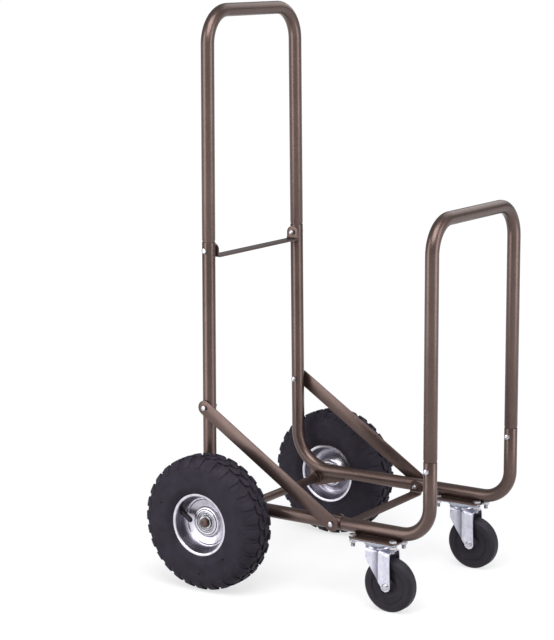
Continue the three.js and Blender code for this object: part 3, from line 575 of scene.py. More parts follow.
# %% The tree that bends a tube
tube_tree, given = new_shape_tree("bent_tube", Steps=int, Sides=int, Material=bpy.types.Material)
bend = add_node(tube_tree, "GeometryNodeInputNamedAttribute", {"Name": "bend"}, data_type="FLOAT")
thickness = add_node(tube_tree, "GeometryNodeInputNamedAttribute", {"Name": "thickness"}, data_type="FLOAT")
line = add_node(tube_tree, "GeometryNodeMeshToCurve", {"Mesh": given["Geometry"]})
bent = add_node(tube_tree, "GeometryNodeFilletCurve", {
    "Curve": line.outputs[0], "Count": given["Steps"], "Radius": bend.outputs[0]}, mode="POLY")
circle = add_node(tube_tree, "GeometryNodeCurvePrimitiveCircle", {"Resolution": given["Sides"],
                                                                  "Radius": 1.0})
swept = add_node(tube_tree, "GeometryNodeCurveToMesh", {
    "Curve": bent.outputs[0], "Profile Curve": circle.outputs[0], "Scale": thickness.outputs[0]})
merged = add_node(tube_tree, "GeometryNodeMergeByDistance", {"Geometry": swept.outputs[0], "Distance": 0.001})
end_tree(tube_tree, merged.outputs[0], given["Material"])


def bent_tube(stations, material, sides=40, steps=14):
    """A swept tube through stations of (place, bend radius, tube radius)."""
    start = bpy.data.meshes.new("stations")
    places = [place for place, _, _ in stations]
    start.from_pydata(places, [(i, i + 1) for i in range(len(places) - 1)], [])
    for name, column in (("bend", 1), ("thickness", 2)):
        values = [float(station[column]) for station in stations]
        start.attributes.new(name, "FLOAT", "POINT").data.foreach_set("value", values)
    return grown(tube_tree, start, Steps=steps, Sides=sides, Material=material)


# %% Bend the six tubes
tube_wall = 1.5
handle_bend, rear_bend, front_bend, hoop_bend = 62, 75, 56, 60
handle_lean = 8.5
neck_radius = tube_radius - 1.4
neck_length = 4
hidden_length = 25


def leg_x(z):
    """Half the spacing of the rear uprights, which lean in towards the top of the handle."""
    return rail_x - handle_lean * (z - rail_z) / (handle_top_z - rail_z)


def walled(mesh):
    """A swept tube with its steel wall and a small bevel round its ends."""
    return modified(mesh, SOLIDIFY={"thickness": tube_wall, "offset": -1},
                    BEVEL=sheet_bevel(0.4))


def narrowed(seam, direction):
    """Stations of a swaged end: hidden in the next tube, then a neck that widens to the full tube."""
    distances = ((hidden_length, neck_radius), (0, neck_radius), (-neck_length, tube_radius))
    return [(seam + direction * distance, 0, radius) for distance, radius in distances]


def hoop(foot, top, bend_radius):
    """A hoop on two narrowed feet, from its right foot's seam and its right top corner."""
    leg = narrowed(foot, (foot - top).normalized()) + [(top, bend_radius, tube_radius)]
    other = [(Vector((-place.x, place.y, place.z)), bend, radius) for place, bend, radius in reversed(leg)]
    return walled(bent_tube(leg + other, coat))


handle_foot = Vector((leg_x(handle_seam_z), rear_y, handle_seam_z))
handle_corner = Vector((leg_x(handle_top_z), rear_y, handle_top_z))
hand_over("handle_hoop_tube", hoop(handle_foot, handle_corner, handle_bend), "cart_frame", "brown_paint",
          "handle_hoop")
front_foot = Vector((rail_x, front_y, front_seam_z))
front_corner = Vector((rail_x, front_y, front_top_z))
hand_over("front_hoop_tube", hoop(front_foot, front_corner, hoop_bend), "cart_frame", "brown_paint",
          "front_hoop")

rear_tube = walled(bent_tube([
    (Vector((rail_x, rail_seam_y, rail_z)), 0, tube_radius),
    (Vector((rail_x, rear_y, rail_z)), rear_bend, tube_radius),
    (handle_foot, 0, tube_radius)], coat))
hand_over_pair("rear_frame_tube", rear_tube, "cart_frame", "brown_paint", "rear_frame")

front_tube = walled(bent_tube(narrowed(Vector((rail_x, rail_seam_y, rail_z)), Vector((0, 1, 0))) + [
    (Vector((rail_x, front_y, rail_z)), front_bend, tube_radius),
    (Vector((rail_x, front_y, front_seam_z)), 0, tube_radius)], coat))
hand_over_pair("front_frame_tube", front_tube, "cart_frame", "brown_paint", "front_frame")

# %% [markdown]
# ## Struts and cross bars
#
# A strut is a flat bar with round ends, bolted to the outside of the frame. A cross bar is a flat strip
# whose ends are folded up and rounded, so that a bolt can hold them against the inside of the tubes. The
# strip is built as a row of stations along its bent centre line, each with half the strip's width there:
# the width follows a half circle at the round ends. Solidify and Bevel make the sheet and its edges.

# %% Struts
def round_ended(low, high, width):
    """The outline of a bar with half-round ends round two points."""
    direction = (high - low).normalized()
    side = Vector((-direction.y, direction.x))
    outline = []
    for centre, ahead in ((high, direction), (low, -direction)):
        sweep = side if ahead is direction else -side
        for k in range(17):
            angle = math.pi * k / 16
            outline.append(centre + (sweep * math.cos(angle) + ahead * math.sin(angle)) * width / 2)
    return outline


strut_width = 28
strut_low, strut_high = box_of("strut_right")
strut = plate(round_ended(rail_bolt.yz, strut_bolt.yz, strut_width), coat, strut_low.x, strut_high.x,
              Vector((0, 1, 0)), AXIS_Z, edge=0.6)
hand_over_pair("strut_bar", strut, "cart_frame", "brown_paint", "strut")

# %% Cross bars
strip_bend = 5


def cross_strip(node, bolt_z, material):
    """The folded strip that stands for a cross bar's CAD node, from that node's box."""
    low, high = box_of(node)
    sheet = 3
    half_width = (high.y - low.y) / 2
    end_x, floor_z = high.x - sheet / 2, low.z + sheet / 2
    stations = []
    for k in range(9):
        angle = math.pi / 2 * k / 8
        stations.append((end_x, bolt_z + half_width * math.cos(angle), half_width * math.sin(angle)))
    for k in range(7):
        angle = math.pi / 2 * k / 6
        stations.append((end_x - strip_bend * (1 - math.cos(angle)),
                         floor_z + strip_bend * (1 - math.sin(angle)), half_width))
    stations += [(-x, z, width) for x, z, width in reversed(stations)]
    shell = bmesh.new()
    middle_y = (low.y + high.y) / 2
    shares = [-1, -0.5, 0, 0.5, 1]
    rows = [[shell.verts.new((x, middle_y + share * max(width, 0.4), z)) for share in shares]
            for x, z, width in stations]
    join_rows(shell, rows)
    return modified(as_mesh(shell, material), SOLIDIFY={"thickness": sheet, "offset": 0},
                    BEVEL=sheet_bevel(0.5))


hand_over("handle_cross_strip", cross_strip("handle_cross_bar", handle_bolt.z, coat), "cart_frame",
          "brown_paint", "handle_cross_bar")
hand_over("rail_cross_strip", cross_strip("rail_cross_bar", rail_z, coat), "cart_frame",
          "brown_paint", "rail_cross_bar")

# %% [markdown]
# ## The axle, its brackets and the weld beads
#
# One solid axle runs from wheel to wheel through a sleeve in each gusset. The gusset fills the corner under
# the rail's bend, so its top edge follows the tube. Where plates meet tubes the real cart has weld beads:
# a row of small overlapping ripples. A tree makes them along any path. It steps along the path in quarters
# of a ripple, swells and shrinks the bead's radius in a wave with a little seeded noise, and sweeps a
# circle along it.

# %% The axle and its brackets
axle_high = box_of("axle")[1]
axle_radius = 8.5
axle_profile = rounded([(-axle_high.x, 0, 0), (-axle_high.x, axle_radius), (axle_high.x, axle_radius),
                        (axle_high.x, 0, 0)], 1.2)
axle_line = Vector((0, wheel_centre.y, wheel_centre.z))
axle_outline = axle_profile[:-1] + [Vector((axle_high.x, 2.4)), Vector((axle_high.x - 2.5, 0))]
axle_outline[0:1] = [Vector((-axle_high.x + 2.5, 0)), Vector((-axle_high.x, 2.4))]
hand_over("axle_bar", lathe(axle_outline, coat, axle_line, steps=48), "cart_frame", "brown_paint", "axle")

gusset_thickness = 4
gusset_reach = 66
gusset_eye = 15.5
sleeve_outer, sleeve_inner = 11, 8.9
bracket_low, bracket_high = box_of("axle_bracket_right")
bend_centre = Vector((rear_y - rear_bend, rail_z + rear_bend))
weld_depth = 1.5
follow = rear_bend + tube_radius - weld_depth
gusset_back = wheel_centre.y + gusset_eye
last_angle = math.acos((gusset_back - bend_centre.x) / follow)
gusset_outline = [Vector((wheel_centre.y - gusset_reach, rail_z - tube_radius + weld_depth))]
gusset_outline += [bend_centre + follow * Vector((math.cos(a), -math.sin(a))) for a in
                   (math.pi / 2 + (last_angle - math.pi / 2) * k / 8 for k in range(9))]
gusset_outline += [Vector((gusset_back, wheel_centre.z))]
gusset_outline += [wheel_centre.yz + gusset_eye * Vector((math.cos(a), -math.sin(a))) for a in
                   (math.pi * k / 20 for k in range(1, 13))]
gusset_outline += [Vector((wheel_centre.y - gusset_reach, rail_z - tube_radius - 4.5))]
gusset = plate(gusset_outline, coat, rail_x - gusset_thickness / 2, rail_x + gusset_thickness / 2,
               Vector((0, 1, 0)), AXIS_Z, edge=0.5)
sleeve = lathe(rounded([(bracket_low.x, sleeve_inner), (bracket_low.x, sleeve_outer),
                        (bracket_high.x, sleeve_outer), (bracket_high.x, sleeve_inner)], 0.5),
               coat, axle_line, steps=48)
hand_over_pair("axle_gusset", joined(gusset, sleeve), "cart_frame", "brown_paint", "axle_bracket")

# %% The tree that lays a weld bead
weld_tree, given = new_shape_tree("weld_bead", Ripple=float, Bead=float, Seed=int,
                                  Material=bpy.types.Material)
step = add_node(weld_tree, "ShaderNodeMath", {0: given["Ripple"], 1: 0.25}, operation="MULTIPLY")
path = add_node(weld_tree, "GeometryNodeMeshToCurve", {"Mesh": given["Geometry"]})
stepped = add_node(weld_tree, "GeometryNodeResampleCurve", {
    "Curve": path.outputs[0], "Length": step.outputs[0]}, mode="LENGTH")
distance = add_node(weld_tree, "GeometryNodeSplineParameter").outputs["Length"]
cycle = add_node(weld_tree, "ShaderNodeMath", {0: distance, 1: given["Ripple"]}, operation="DIVIDE")
phase = add_node(weld_tree, "ShaderNodeMath", {0: cycle.outputs[0], 1: 2 * math.pi}, operation="MULTIPLY")
wave = add_node(weld_tree, "ShaderNodeMath", {0: phase.outputs[0]}, operation="SINE")
chance = add_node(weld_tree, "FunctionNodeRandomValue", {2: -0.4, 3: 0.4, "Seed": given["Seed"]})
uneven = add_node(weld_tree, "ShaderNodeMath", {0: wave.outputs[0], 1: chance.outputs[1]})
swell = add_node(weld_tree, "ShaderNodeMath", {0: uneven.outputs[0], 1: 0.14, 2: 1.0},
                 operation="MULTIPLY_ADD")
bead_radius = add_node(weld_tree, "ShaderNodeMath", {0: swell.outputs[0], 1: given["Bead"]},
                       operation="MULTIPLY")
circle = add_node(weld_tree, "GeometryNodeCurvePrimitiveCircle", {"Resolution": 10, "Radius": 1.0})
swept = add_node(weld_tree, "GeometryNodeCurveToMesh", {
    "Curve": stepped.outputs[0], "Profile Curve": circle.outputs[0], "Scale": bead_radius.outputs[0],
    "Fill Caps": True})
end_tree(weld_tree, swept.outputs[0], given["Material"])


def weld(points, closed=False, seed=0):
    """A weld bead along points."""
    start = bpy.data.meshes.new("path")
    edges = [(i, i + 1) for i in range(len(points) - 1)] + ([(len(points) - 1, 0)] if closed else [])
    start.from_pydata(points, edges, [])
    return grown(weld_tree, start, Ripple=1.8, Bead=1.7, Seed=seed, Material=coat)


# %% Lay the weld beads
mount_top_z = box_of("caster_mount_right")[1].z
beads = []
for side in (-1, 1):
    face_x = rail_x + side * gusset_thickness / 2
    top_edge = [Vector((face_x + side * 0.5, y, z - 1.2)) for y, z in gusset_outline[1:10]]
    beads.append(weld([Vector((face_x + side * 0.5, wheel_centre.y - gusset_reach + 3, rail_z - tube_radius)),
                       *top_edge], seed=3 + side))
    around = [Vector((face_x + side * 0.6, wheel_centre.y + sleeve_outer * math.cos(a),
                      wheel_centre.z + sleeve_outer * math.sin(a)))
              for a in circle_angles(40)]
    beads.append(weld(around, closed=True, seed=7 + side))
    rail_side = rail_x + side * 4.5
    beads.append(weld([Vector((rail_side, kingpin.y + y, mount_top_z + 0.6)) for y in (-34, 34)],
                      seed=11 + side))
hand_over_pair("weld_beads", joined(*beads), "cart_frame", "brown_paint")

# %% [markdown]
# ## Bolts
#
# Every joint is held by a hexagon bolt and a nut. The chamfer on a bolt head is a cone that cuts the
# hexagon, so the edge dips at each corner: the height of the rim falls with its distance from the axis,
# and that rule makes the head. The shank's thread is a row of rings, which reads as a thread at this size
# and stays one closed shape. One tree then sets a bolt on each point of a start mesh, turned along that
# point's direction, with a random turn of the head.

# %% Model one bolt
BOLT_STEPS = 36


def hexagon_radius(angle, across_flats):
    """The distance from the middle of a hexagon to its outline in a direction."""
    return across_flats / 2 / math.cos((angle + math.pi / 6) % (math.pi / 3) - math.pi / 6)


def hex_rings(across_flats, low, high, bore, chamfer_low):
    """Rings of (angle, radius, along) for a hexagon with chamfered corners, from low to high."""
    angles = circle_angles(BOLT_STEPS)
    inner = across_flats / 2 * 0.97

    def rim(along, sign):
        return [(a, hexagon_radius(a, across_flats),
                 along - sign * 0.55 * (hexagon_radius(a, across_flats) - inner)) for a in angles]

    def ring(radius, along):
        return [(a, radius, along) for a in angles]

    rings = [ring(bore, low)]
    rings += [ring(inner, low), rim(low, -1)] if chamfer_low else [rim(low, 0)]
    return rings + [rim(high, 1), ring(inner, high), ring(bore, high)]


def bolt_mesh(grip, shank, head_flats, head_height, nut_height, thread_end, pitch):
    """A bolt along Z: its head above the grip, its nut below, threads down to its end."""
    angles = circle_angles(BOLT_STEPS)
    head = hex_rings(head_flats, grip / 2, grip / 2 + head_height, 0, False)
    nut = hex_rings(head_flats, -grip / 2 - nut_height, -grip / 2, 0, True)
    rings_of_thread = max(1, round((nut_height + thread_end) / pitch))
    end = -grip / 2 - nut_height - thread_end
    rod = [[(a, 0, end) for a in angles], [(a, shank - 0.9, end) for a in angles]]
    for k in range(rings_of_thread):
        for share, radius in ((0.15, shank - 0.6), (0.65, shank)):
            rod.append([(a, radius, end + (k + share) * pitch) for a in angles])
    rod += [[(a, shank, grip / 2 + 0.2) for a in angles], [(a, 0, grip / 2 + 0.2) for a in angles]]
    shell = bmesh.new()
    for rings in (head, nut, rod):
        made = []
        for ring in rings:
            count = 1 if ring[0][1] < 1e-4 else len(ring)
            made.append([shell.verts.new((r * math.cos(a), r * math.sin(a), z)) for a, r, z in ring[:count]])
        for here, after in zip(made, made[1:]):
            join_rings(shell, here, after, BOLT_STEPS)
    return as_mesh(shell, bolt_zinc)


# %% The tree that sets bolts
bolt_tree, given = new_shape_tree("bolt_set", Bolt=bpy.types.Object, Seed=int, Material=bpy.types.Material)
heading = add_node(bolt_tree, "GeometryNodeInputNamedAttribute", {"Name": "heading"},
                   data_type="FLOAT_VECTOR")
aimed = add_node(bolt_tree, "FunctionNodeAlignRotationToVector", {"Vector": heading.outputs[0]}, axis="Z")
spin = add_node(bolt_tree, "FunctionNodeRandomValue", {3: 2 * math.pi, "Seed": given["Seed"]})
twist = add_node(bolt_tree, "FunctionNodeAxisAngleToRotation", {"Axis": AXIS_Z, "Angle": spin.outputs[1]})
turned = add_node(bolt_tree, "FunctionNodeRotateRotation", {0: aimed.outputs[0], 1: twist.outputs[0]},
                  rotation_space="LOCAL")
shape = add_node(bolt_tree, "GeometryNodeObjectInfo", {"Object": given["Bolt"]})
placed = add_node(bolt_tree, "GeometryNodeInstanceOnPoints", {
    "Points": given["Geometry"], "Instance": shape.outputs["Geometry"], "Rotation": turned.outputs[0]})
end_tree(bolt_tree, placed.outputs[0], given["Material"])


def bolt_set(places, heading, seed, **sizes):
    """Bolts of one size at places, all with their heads in one direction."""
    start = bpy.data.meshes.new("places")
    start.from_pydata(places, [], [])
    attribute = start.attributes.new("heading", "FLOAT_VECTOR", "POINT")
    attribute.data.foreach_set("vector", list(heading) * len(places))
    pattern = bpy.data.objects.new("bolt", bolt_mesh(**sizes))
    made = grown(bolt_tree, start, Bolt=pattern, Seed=seed, Material=bolt_zinc)
    bpy.data.objects.remove(pattern)
    return made


# %% Set the frame bolts and the caster bolts
head_height, nut_height = 3.6, 5
frame_bolts = []
frame_bolt_nodes = ("handle_bolt", "strut_bolt", "rail_bolt", "front_hoop_bolt")
for seed, node in enumerate(frame_bolt_nodes):
    low, high = box_of(node + "_right")
    thread_end = 2.5
    inner_face, outer_face = low.x + nut_height + thread_end, high.x - head_height
    place = middle_of(node + "_right")
    place.x = (inner_face + outer_face) / 2
    frame_bolts.append(bolt_set([place], AXIS_X, seed, grip=outer_face - inner_face, shank=3, head_flats=9,
                                head_height=head_height, nut_height=nut_height, thread_end=thread_end,
                                pitch=1))
hand_over_pair("frame_bolts", joined(*frame_bolts), "cart_frame", "zinc_bolts", *frame_bolt_nodes)

mount_bolt_nodes = [f"mount_bolt_right_{k}" for k in (1, 2, 3, 4)]
low, high = box_of(mount_bolt_nodes[0])
thread_end = 8
bottom, top = low.z + nut_height + thread_end, high.z - head_height
mount_places = [Vector((middle_of(n).x, middle_of(n).y, (bottom + top) / 2)) for n in mount_bolt_nodes]
mount_bolts = bolt_set(mount_places, AXIS_Z, 9, grip=top - bottom, shank=4, head_flats=12.5,
                       head_height=head_height, nut_height=nut_height, thread_end=thread_end, pitch=1.25)
for side, mesh in (("left", mirrored(mount_bolts)), ("right", mount_bolts)):
    hand_over(f"caster_bolts_{side}", mesh, "cart_frame", "zinc_bolts",
              *(node.replace("right", side) for node in mount_bolt_nodes))

# %% [markdown]
# ## The tyre
#
# The carcass is a smooth doughnut. Its section is a superellipse, an oval with fuller shoulders, cut off
# where it meets the rim: one formula gives the sidewall, the shoulder and the flat tread. The tread is 28
# blocks in each of four staggered rows: two rows of shoulder lugs that wrap over and run out on the
# sidewall, and two of slanted blocks either side of the middle groove. One block of each kind is
# modelled, and a tree places them round the wheel.

# %% The carcass
tyre_radius = wheel_centre.z - 0.4
tread_depth = 3.8
base_radius = tyre_radius - tread_depth
half_tyre = 37.4
rim_radius, half_rim = 60, 30
section_middle = 88
section_height = base_radius - section_middle
fullness = 3.3


def carcass_point(angle, inset=0):
    """A point (along, radius) of the carcass, at an angle from the tread's middle."""
    sine, cosine = math.sin(angle), math.cos(angle)
    across = (half_tyre - inset) * math.copysign(abs(sine) ** (2 / fullness), sine)
    height = (section_height - inset) * math.copysign(abs(cosine) ** (2 / fullness), cosine)
    return across, section_middle + height


def above_carcass(across, height):
    """A point (along, radius) at a height above the carcass, straight out from its surface."""
    share = across / half_tyre
    level = (1 - share ** fullness) ** (1 / fullness)
    surface = Vector((across, section_middle + section_height * level))
    outwards = Vector(((share ** (fullness - 1)) / half_tyre, level ** (fullness - 1) / section_height))
    return surface + outwards.normalized() * height


def tyre_outline():
    """The section from one bead round the tread to the other, and back inside."""
    wall_steps = 26
    bead_angle = math.radians(136)
    outer = [Vector(carcass_point(bead_angle * k / wall_steps)) for k in range(-wall_steps, wall_steps + 1)]
    inner = [Vector(carcass_point(bead_angle * k / 12, 6)) for k in range(-12, 13)]
    for point in outer:
        if abs(abs(point.x) - half_tyre) < 1.6 and 66 < point.y < 78:
            point.x += math.copysign(0.7, point.x)
    bead = [Vector((half_rim - 4, rim_radius - 5)), Vector((half_rim - 9, rim_radius - 5))]
    return outer + bead + inner[::-1] + [Vector((-p.x, p.y)) for p in reversed(bead)]


carcass = lathe(tyre_outline(), tyre_rubber, steps=128)
print(f"tyre: {2 * tyre_radius:.0f} mm over the tread, {2 * half_tyre} mm wide")

# %% The tread blocks and the tree that places them
blocks_in_a_row = 28


def tread_block(stations):
    """A block at the top of the tyre, from stations of (across, height, back end, front end)."""
    shell = bmesh.new()
    lengthwise = (0, 0.33, 0.67, 1)
    top_rows, foot_rows = [], []
    for across, height, back, front in stations:
        along = [back + (front - back) * share for share in lengthwise]
        for rows, level in ((top_rows, height), (foot_rows, -2.5)):
            side, radius = above_carcass(across, level)
            rows.append([shell.verts.new((side, radius * math.sin(s / tyre_radius),
                                          radius * math.cos(s / tyre_radius))) for s in along])
    last = len(lengthwise) - 1
    for rows in (top_rows, foot_rows):
        join_rows(shell, rows)
    for top, foot in ((top_rows[0], foot_rows[0]), (top_rows[-1], foot_rows[-1])):
        for k in range(last):
            shell.faces.new((top[k], top[k + 1], foot[k + 1], foot[k]))
    for i in range(len(stations) - 1):
        for k in (0, last):
            shell.faces.new((top_rows[i][k], top_rows[i + 1][k], foot_rows[i + 1][k], foot_rows[i][k]))
    bmesh.ops.recalc_face_normals(shell, faces=shell.faces)
    soften(shell, 0.7, 1)
    return as_mesh(shell, tyre_rubber)


shoulder_lug = tread_block([
    (16.5, tread_depth, -5, 9), (20, tread_depth, -8, 9.5), (25, 3.2, -9, 8.5), (30, 2.4, -8.5, 8),
    (33.5, 1.6, -8, 7.5), (35.4, 0.9, -7.5, 7)])
middle_block = tread_block([
    (1.8, tread_depth, -10.5, 5), (7, tread_depth, -9.5, 9.5), (13, tread_depth, -5, 10.5)])

tread_tree, given = new_shape_tree("tread_row", Blocks=int, Shift=float, Block=bpy.types.Object,
                                   Material=bpy.types.Material)
points = add_node(tread_tree, "GeometryNodePoints", {"Count": given["Blocks"]})
number = add_node(tread_tree, "GeometryNodeInputIndex").outputs[0]
shifted = add_node(tread_tree, "ShaderNodeMath", {0: number, 1: given["Shift"]})
share = add_node(tread_tree, "ShaderNodeMath", {0: shifted.outputs[0], 1: given["Blocks"]},
                 operation="DIVIDE")
angle = add_node(tread_tree, "ShaderNodeMath", {0: share.outputs[0], 1: 2 * math.pi}, operation="MULTIPLY")
facing = add_node(tread_tree, "FunctionNodeAxisAngleToRotation", {"Axis": AXIS_X, "Angle": angle.outputs[0]})
shape = add_node(tread_tree, "GeometryNodeObjectInfo", {"Object": given["Block"]})
row = add_node(tread_tree, "GeometryNodeInstanceOnPoints", {
    "Points": points.outputs[0], "Instance": shape.outputs["Geometry"], "Rotation": facing.outputs[0]})
end_tree(tread_tree, row.outputs[0], given["Material"])


def tread_row(block, shift):
    pattern = bpy.data.objects.new("block", block)
    made = grown(tread_tree, None, Blocks=blocks_in_a_row, Shift=float(shift), Block=pattern,
                 Material=tyre_rubber)
    bpy.data.objects.remove(pattern)
    return made


rows = [tread_row(shoulder_lug, 0), tread_row(middle_block, 0.5),
        tread_row(mirrored(middle_block), 0), tread_row(mirrored(shoulder_lug), 0.5)]

# %% [markdown]
# Three tiny pits in the outer sidewall are marks of the mould's pins. A Boolean modifier cuts them with
# short rods, before the tyre moves from the middle of its own wheel to its place on the axle.

# %% Finish the tyre
pit_radius = 1.6
pit_places = [(87, 22), (81, 223), (92, 267)]


def cut_by(mesh, cutter_mesh):
    """A mesh with the shape of another cut out of it."""
    cutter = bpy.data.objects.new("cutter", cutter_mesh)
    bpy.context.scene.collection.objects.link(cutter)
    result = modified(mesh, BOOLEAN={"object": cutter, "operation": "DIFFERENCE", "solver": "EXACT"})
    bpy.data.objects.remove(cutter)
    return result


pits = []
for radius, degrees in pit_places:
    a = math.radians(degrees)
    centre = Vector((half_tyre, radius * math.cos(a), radius * math.sin(a)))
    pits.append(lathe([(-3, 0), (-3, pit_radius), (3, pit_radius), (3, 0)], tyre_rubber, centre, steps=12))
tyre = joined(cut_by(carcass, joined(*pits)), *rows)
tyre.transform(Matrix.Translation(wheel_centre))
hand_over_pair("pneumatic_tyre", tyre, "big_wheel_", "tyre_rubber", "tyre")

# %% [markdown]
# ## The rim and the hub
#
# The rim is two steel pressings. Seen from outside, the lip is a flat bright ring, a dark wall drops to a
# narrow step, and inside that a shallow dish falls to a raised boss round the hub. The outline is drawn
# once as the sheet's middle line with rounded corners, and given half the sheet on each side. The hub is
# a short tube with a ball bearing pressed into each end.

# %% Pressed rims
rim_sheet = 2.2


def sheet_outline(line, sheet):
    """The closed outline of a sheet, from its middle line."""
    sides = ([], [])
    for i, point in enumerate(line):
        ahead = line[min(i + 1, len(line) - 1)] - line[max(i - 1, 0)]
        normal = Vector((-ahead.y, ahead.x)).normalized() * sheet / 2
        sides[0].append(point + normal)
        sides[1].append(point - normal)
    return sides[0] + sides[1][::-1]


def pressed(corners, radius, material, place):
    return lathe(sheet_outline(rounded(corners, radius, closed=False), rim_sheet), material, place)


outboard_hub, inboard_hub = 9, -25
outboard_line = [
    (outboard_hub - 3.2, 24.8), (outboard_hub - 3.4, 26.8, 1.5), (0.6, 29.5, 2), (3.8, 43, 1.2),
    (6.2, 44.6, 0.8), (6.2, 47.2, 1.2), (half_rim - 6, 53.2, 2), (half_rim - 1.2, 55, 1.2),
    (half_rim - 0.8, 59.8, 1.2), (half_rim - 2.4, 60.9, 0.8), (half_rim - 3.6, 60.2)]
inboard_line = [
    (inboard_hub + 5.5, 24.8), (inboard_hub + 7, 27.5, 1.5), (-2.2, 41.5, 3), (-4.6, 44.8, 1.2),
    (-6.2, 47.2, 1.2), (-half_rim + 6, 53.2, 2), (-half_rim + 1.2, 55, 1.2), (-half_rim + 0.8, 59.8, 1.2),
    (-half_rim + 2.4, 60.9, 0.8), (-half_rim + 3.6, 60.2)]
for node, line in (("outboard_rim", outboard_line), ("inboard_rim", inboard_line)):
    hand_over_pair(node + "_pressing", pressed(line, 2, rim_zinc, wheel_centre), "big_wheel_", "zinc_rim",
                   node)

# %% Hub, bearings, washer and split pin
hub_low, hub_high = box_of("wheel_hub_right")
hub_radius, hub_seat, hub_bore, bearing_width = 24, 20.3, 14, 12
seat_depth = 13.3
hub_outline = rounded([
    (hub_low.x, hub_seat), (hub_low.x, hub_radius), (hub_high.x, hub_radius, 1.6), (hub_high.x, hub_seat),
    (hub_high.x - seat_depth, hub_seat), (hub_high.x - seat_depth, hub_bore),
    (hub_low.x + seat_depth, hub_bore), (hub_low.x + seat_depth, hub_seat)], 0.6)
hand_over_pair("wheel_hub_tube", lathe(hub_outline, rim_zinc, axle_line), "big_wheel_", "zinc_rim",
               "wheel_hub")


def bearing_ring(face, outward, inner, outer, recess, edge):
    """One ring of a bearing, whose face shows in a direction along the axle."""
    near, far = face - outward * recess, face - outward * bearing_width
    return rounded([(near, inner), (near, outer), (far, outer), (far, inner)], edge)


for node, outward in (("outboard_bearing", 1), ("inboard_bearing", -1)):
    low, high = box_of(node + "_right")
    face = high.x if outward > 0 else low.x
    rings = [lathe(bearing_ring(face, outward, *ring), ground_steel, axle_line)
             for ring in ((16.4, 20, 0, 1.1), (12.6, 16.2, 0.9, 0.3), (8.8, 12.2, 0, 0.5))]
    hand_over_pair(node + "_rings", joined(*rings), "big_wheel_", "bearing_steel", node)

washer_low, washer_high = box_of("axle_washer_right")
washer_bore, washer_radius = 8.9, 12.5
washer_outline = rounded([(washer_low.x, washer_bore), (washer_low.x, washer_radius),
                          (washer_high.x, washer_radius), (washer_high.x, washer_bore)], 0.5)
hand_over_pair("axle_end_washer", lathe(washer_outline, bolt_zinc, axle_line, steps=64), "cart_frame",
               "zinc_bolts", "axle_washer")

pin_middle = middle_of("split_pin_right")
pin_high = box_of("split_pin_right")[1]
wire = 0.75
eye_centre = Vector((pin_middle.x, wheel_centre.y, pin_high.z - 3.4))
leg_end = wheel_centre.z - axle_radius - 3
eye_path = [(eye_centre + 2.6 * Vector((0, math.sin(a), math.cos(a))), 0, wire)
            for a in (math.radians(150 - 300 * k / 12) for k in range(13))]
pin_path = [(Vector((pin_middle.x, wheel_centre.y + 4.5, leg_end - 1.5)), 0, wire),
            (Vector((pin_middle.x, wheel_centre.y + wire, leg_end + 3)), 2, wire), *eye_path,
            (Vector((pin_middle.x, wheel_centre.y - wire, leg_end + 3)), 2, wire),
            (Vector((pin_middle.x, wheel_centre.y - 4.5, leg_end - 1.5)), 0, wire)]
pin = modified(bent_tube(pin_path, bolt_zinc, sides=10, steps=4), SOLIDIFY={"thickness": 0.5, "offset": -1})
hand_over_pair("split_pin_wire", pin, "cart_frame", "zinc_bolts", "split_pin")

# %% [markdown]
# ## The inner tube and its valve
#
# An air-filled tyre holds a butyl inner tube, whose valve comes out through the dark wall of the rim and
# leans in over the dish. The tube is hidden, but it is there, with the valve's rubber stem growing out of
# it. The stem widens to a foot at the rim, and ends in a small plastic cap.

# %% Inner tube and valve
valve_tip, valve_root = Vector((21, 24, 2)), Vector((4, 80, 28))
valve_line = (valve_tip - valve_root).normalized()
tube_outline = [Vector(carcass_point(angle, 7.5)) for angle in circle_angles(32)]
inner_tube = lathe(tube_outline, butyl)
stem_length = (valve_tip - valve_root).length
stem = lathe(rounded([(0, 0, 0), (0, 4.5), (stem_length - 34, 4.5, 6), (stem_length - 31, 6.2, 1.5),
                      (stem_length - 28, 5.8, 2), (stem_length - 22, 4.6, 4), (stem_length - 9, 4.2),
                      (stem_length - 9, 0, 0)], 0.5), butyl, valve_root, valve_line, steps=32)
valve = joined(inner_tube, stem)
valve.transform(Matrix.Translation(wheel_centre))
hand_over_pair("inner_tube_and_valve", valve, "big_wheel_", "butyl_rubber", "inner_tube")

cap = lathe(rounded([(stem_length - 11, 0, 0), (stem_length - 11, 4.8), (stem_length - 3, 4.8, 0.6),
                     (stem_length - 2, 3.8, 0.5), (stem_length, 3.6, 1), (stem_length, 0, 0)], 0.4),
            core_plastic, valve_root, valve_line, steps=32)
cap.transform(Matrix.Translation(wheel_centre))
hand_over_pair("valve_cap", cap, "big_wheel_", "black_plastic")

# %% [markdown]
# ## The casters
#
# Each caster hangs under a painted plate that is welded to the rail. Its own zinc plate carries a pressed
# race, and the fork turns under it on a kingpin. The fork is one pressing: a crown that bends down into
# two cheeks, with a raised pad along the front of each that stiffens it. It is modelled as a grid. One
# direction runs from foot to foot over the crown, the other from the back edge to the front edge, and
# each grid point's place follows from those two. Solidify gives the sheet and Bevel its edges.

# %% Mount plates and caster plates
def round_rectangle(middle, size_x, size_y, corner):
    """The outline of a rectangle with round corners."""
    half_x, half_y = size_x / 2, size_y / 2
    return rounded([(middle.x - half_x, middle.y - half_y), (middle.x + half_x, middle.y - half_y),
                    (middle.x + half_x, middle.y + half_y), (middle.x - half_x, middle.y + half_y)], corner)


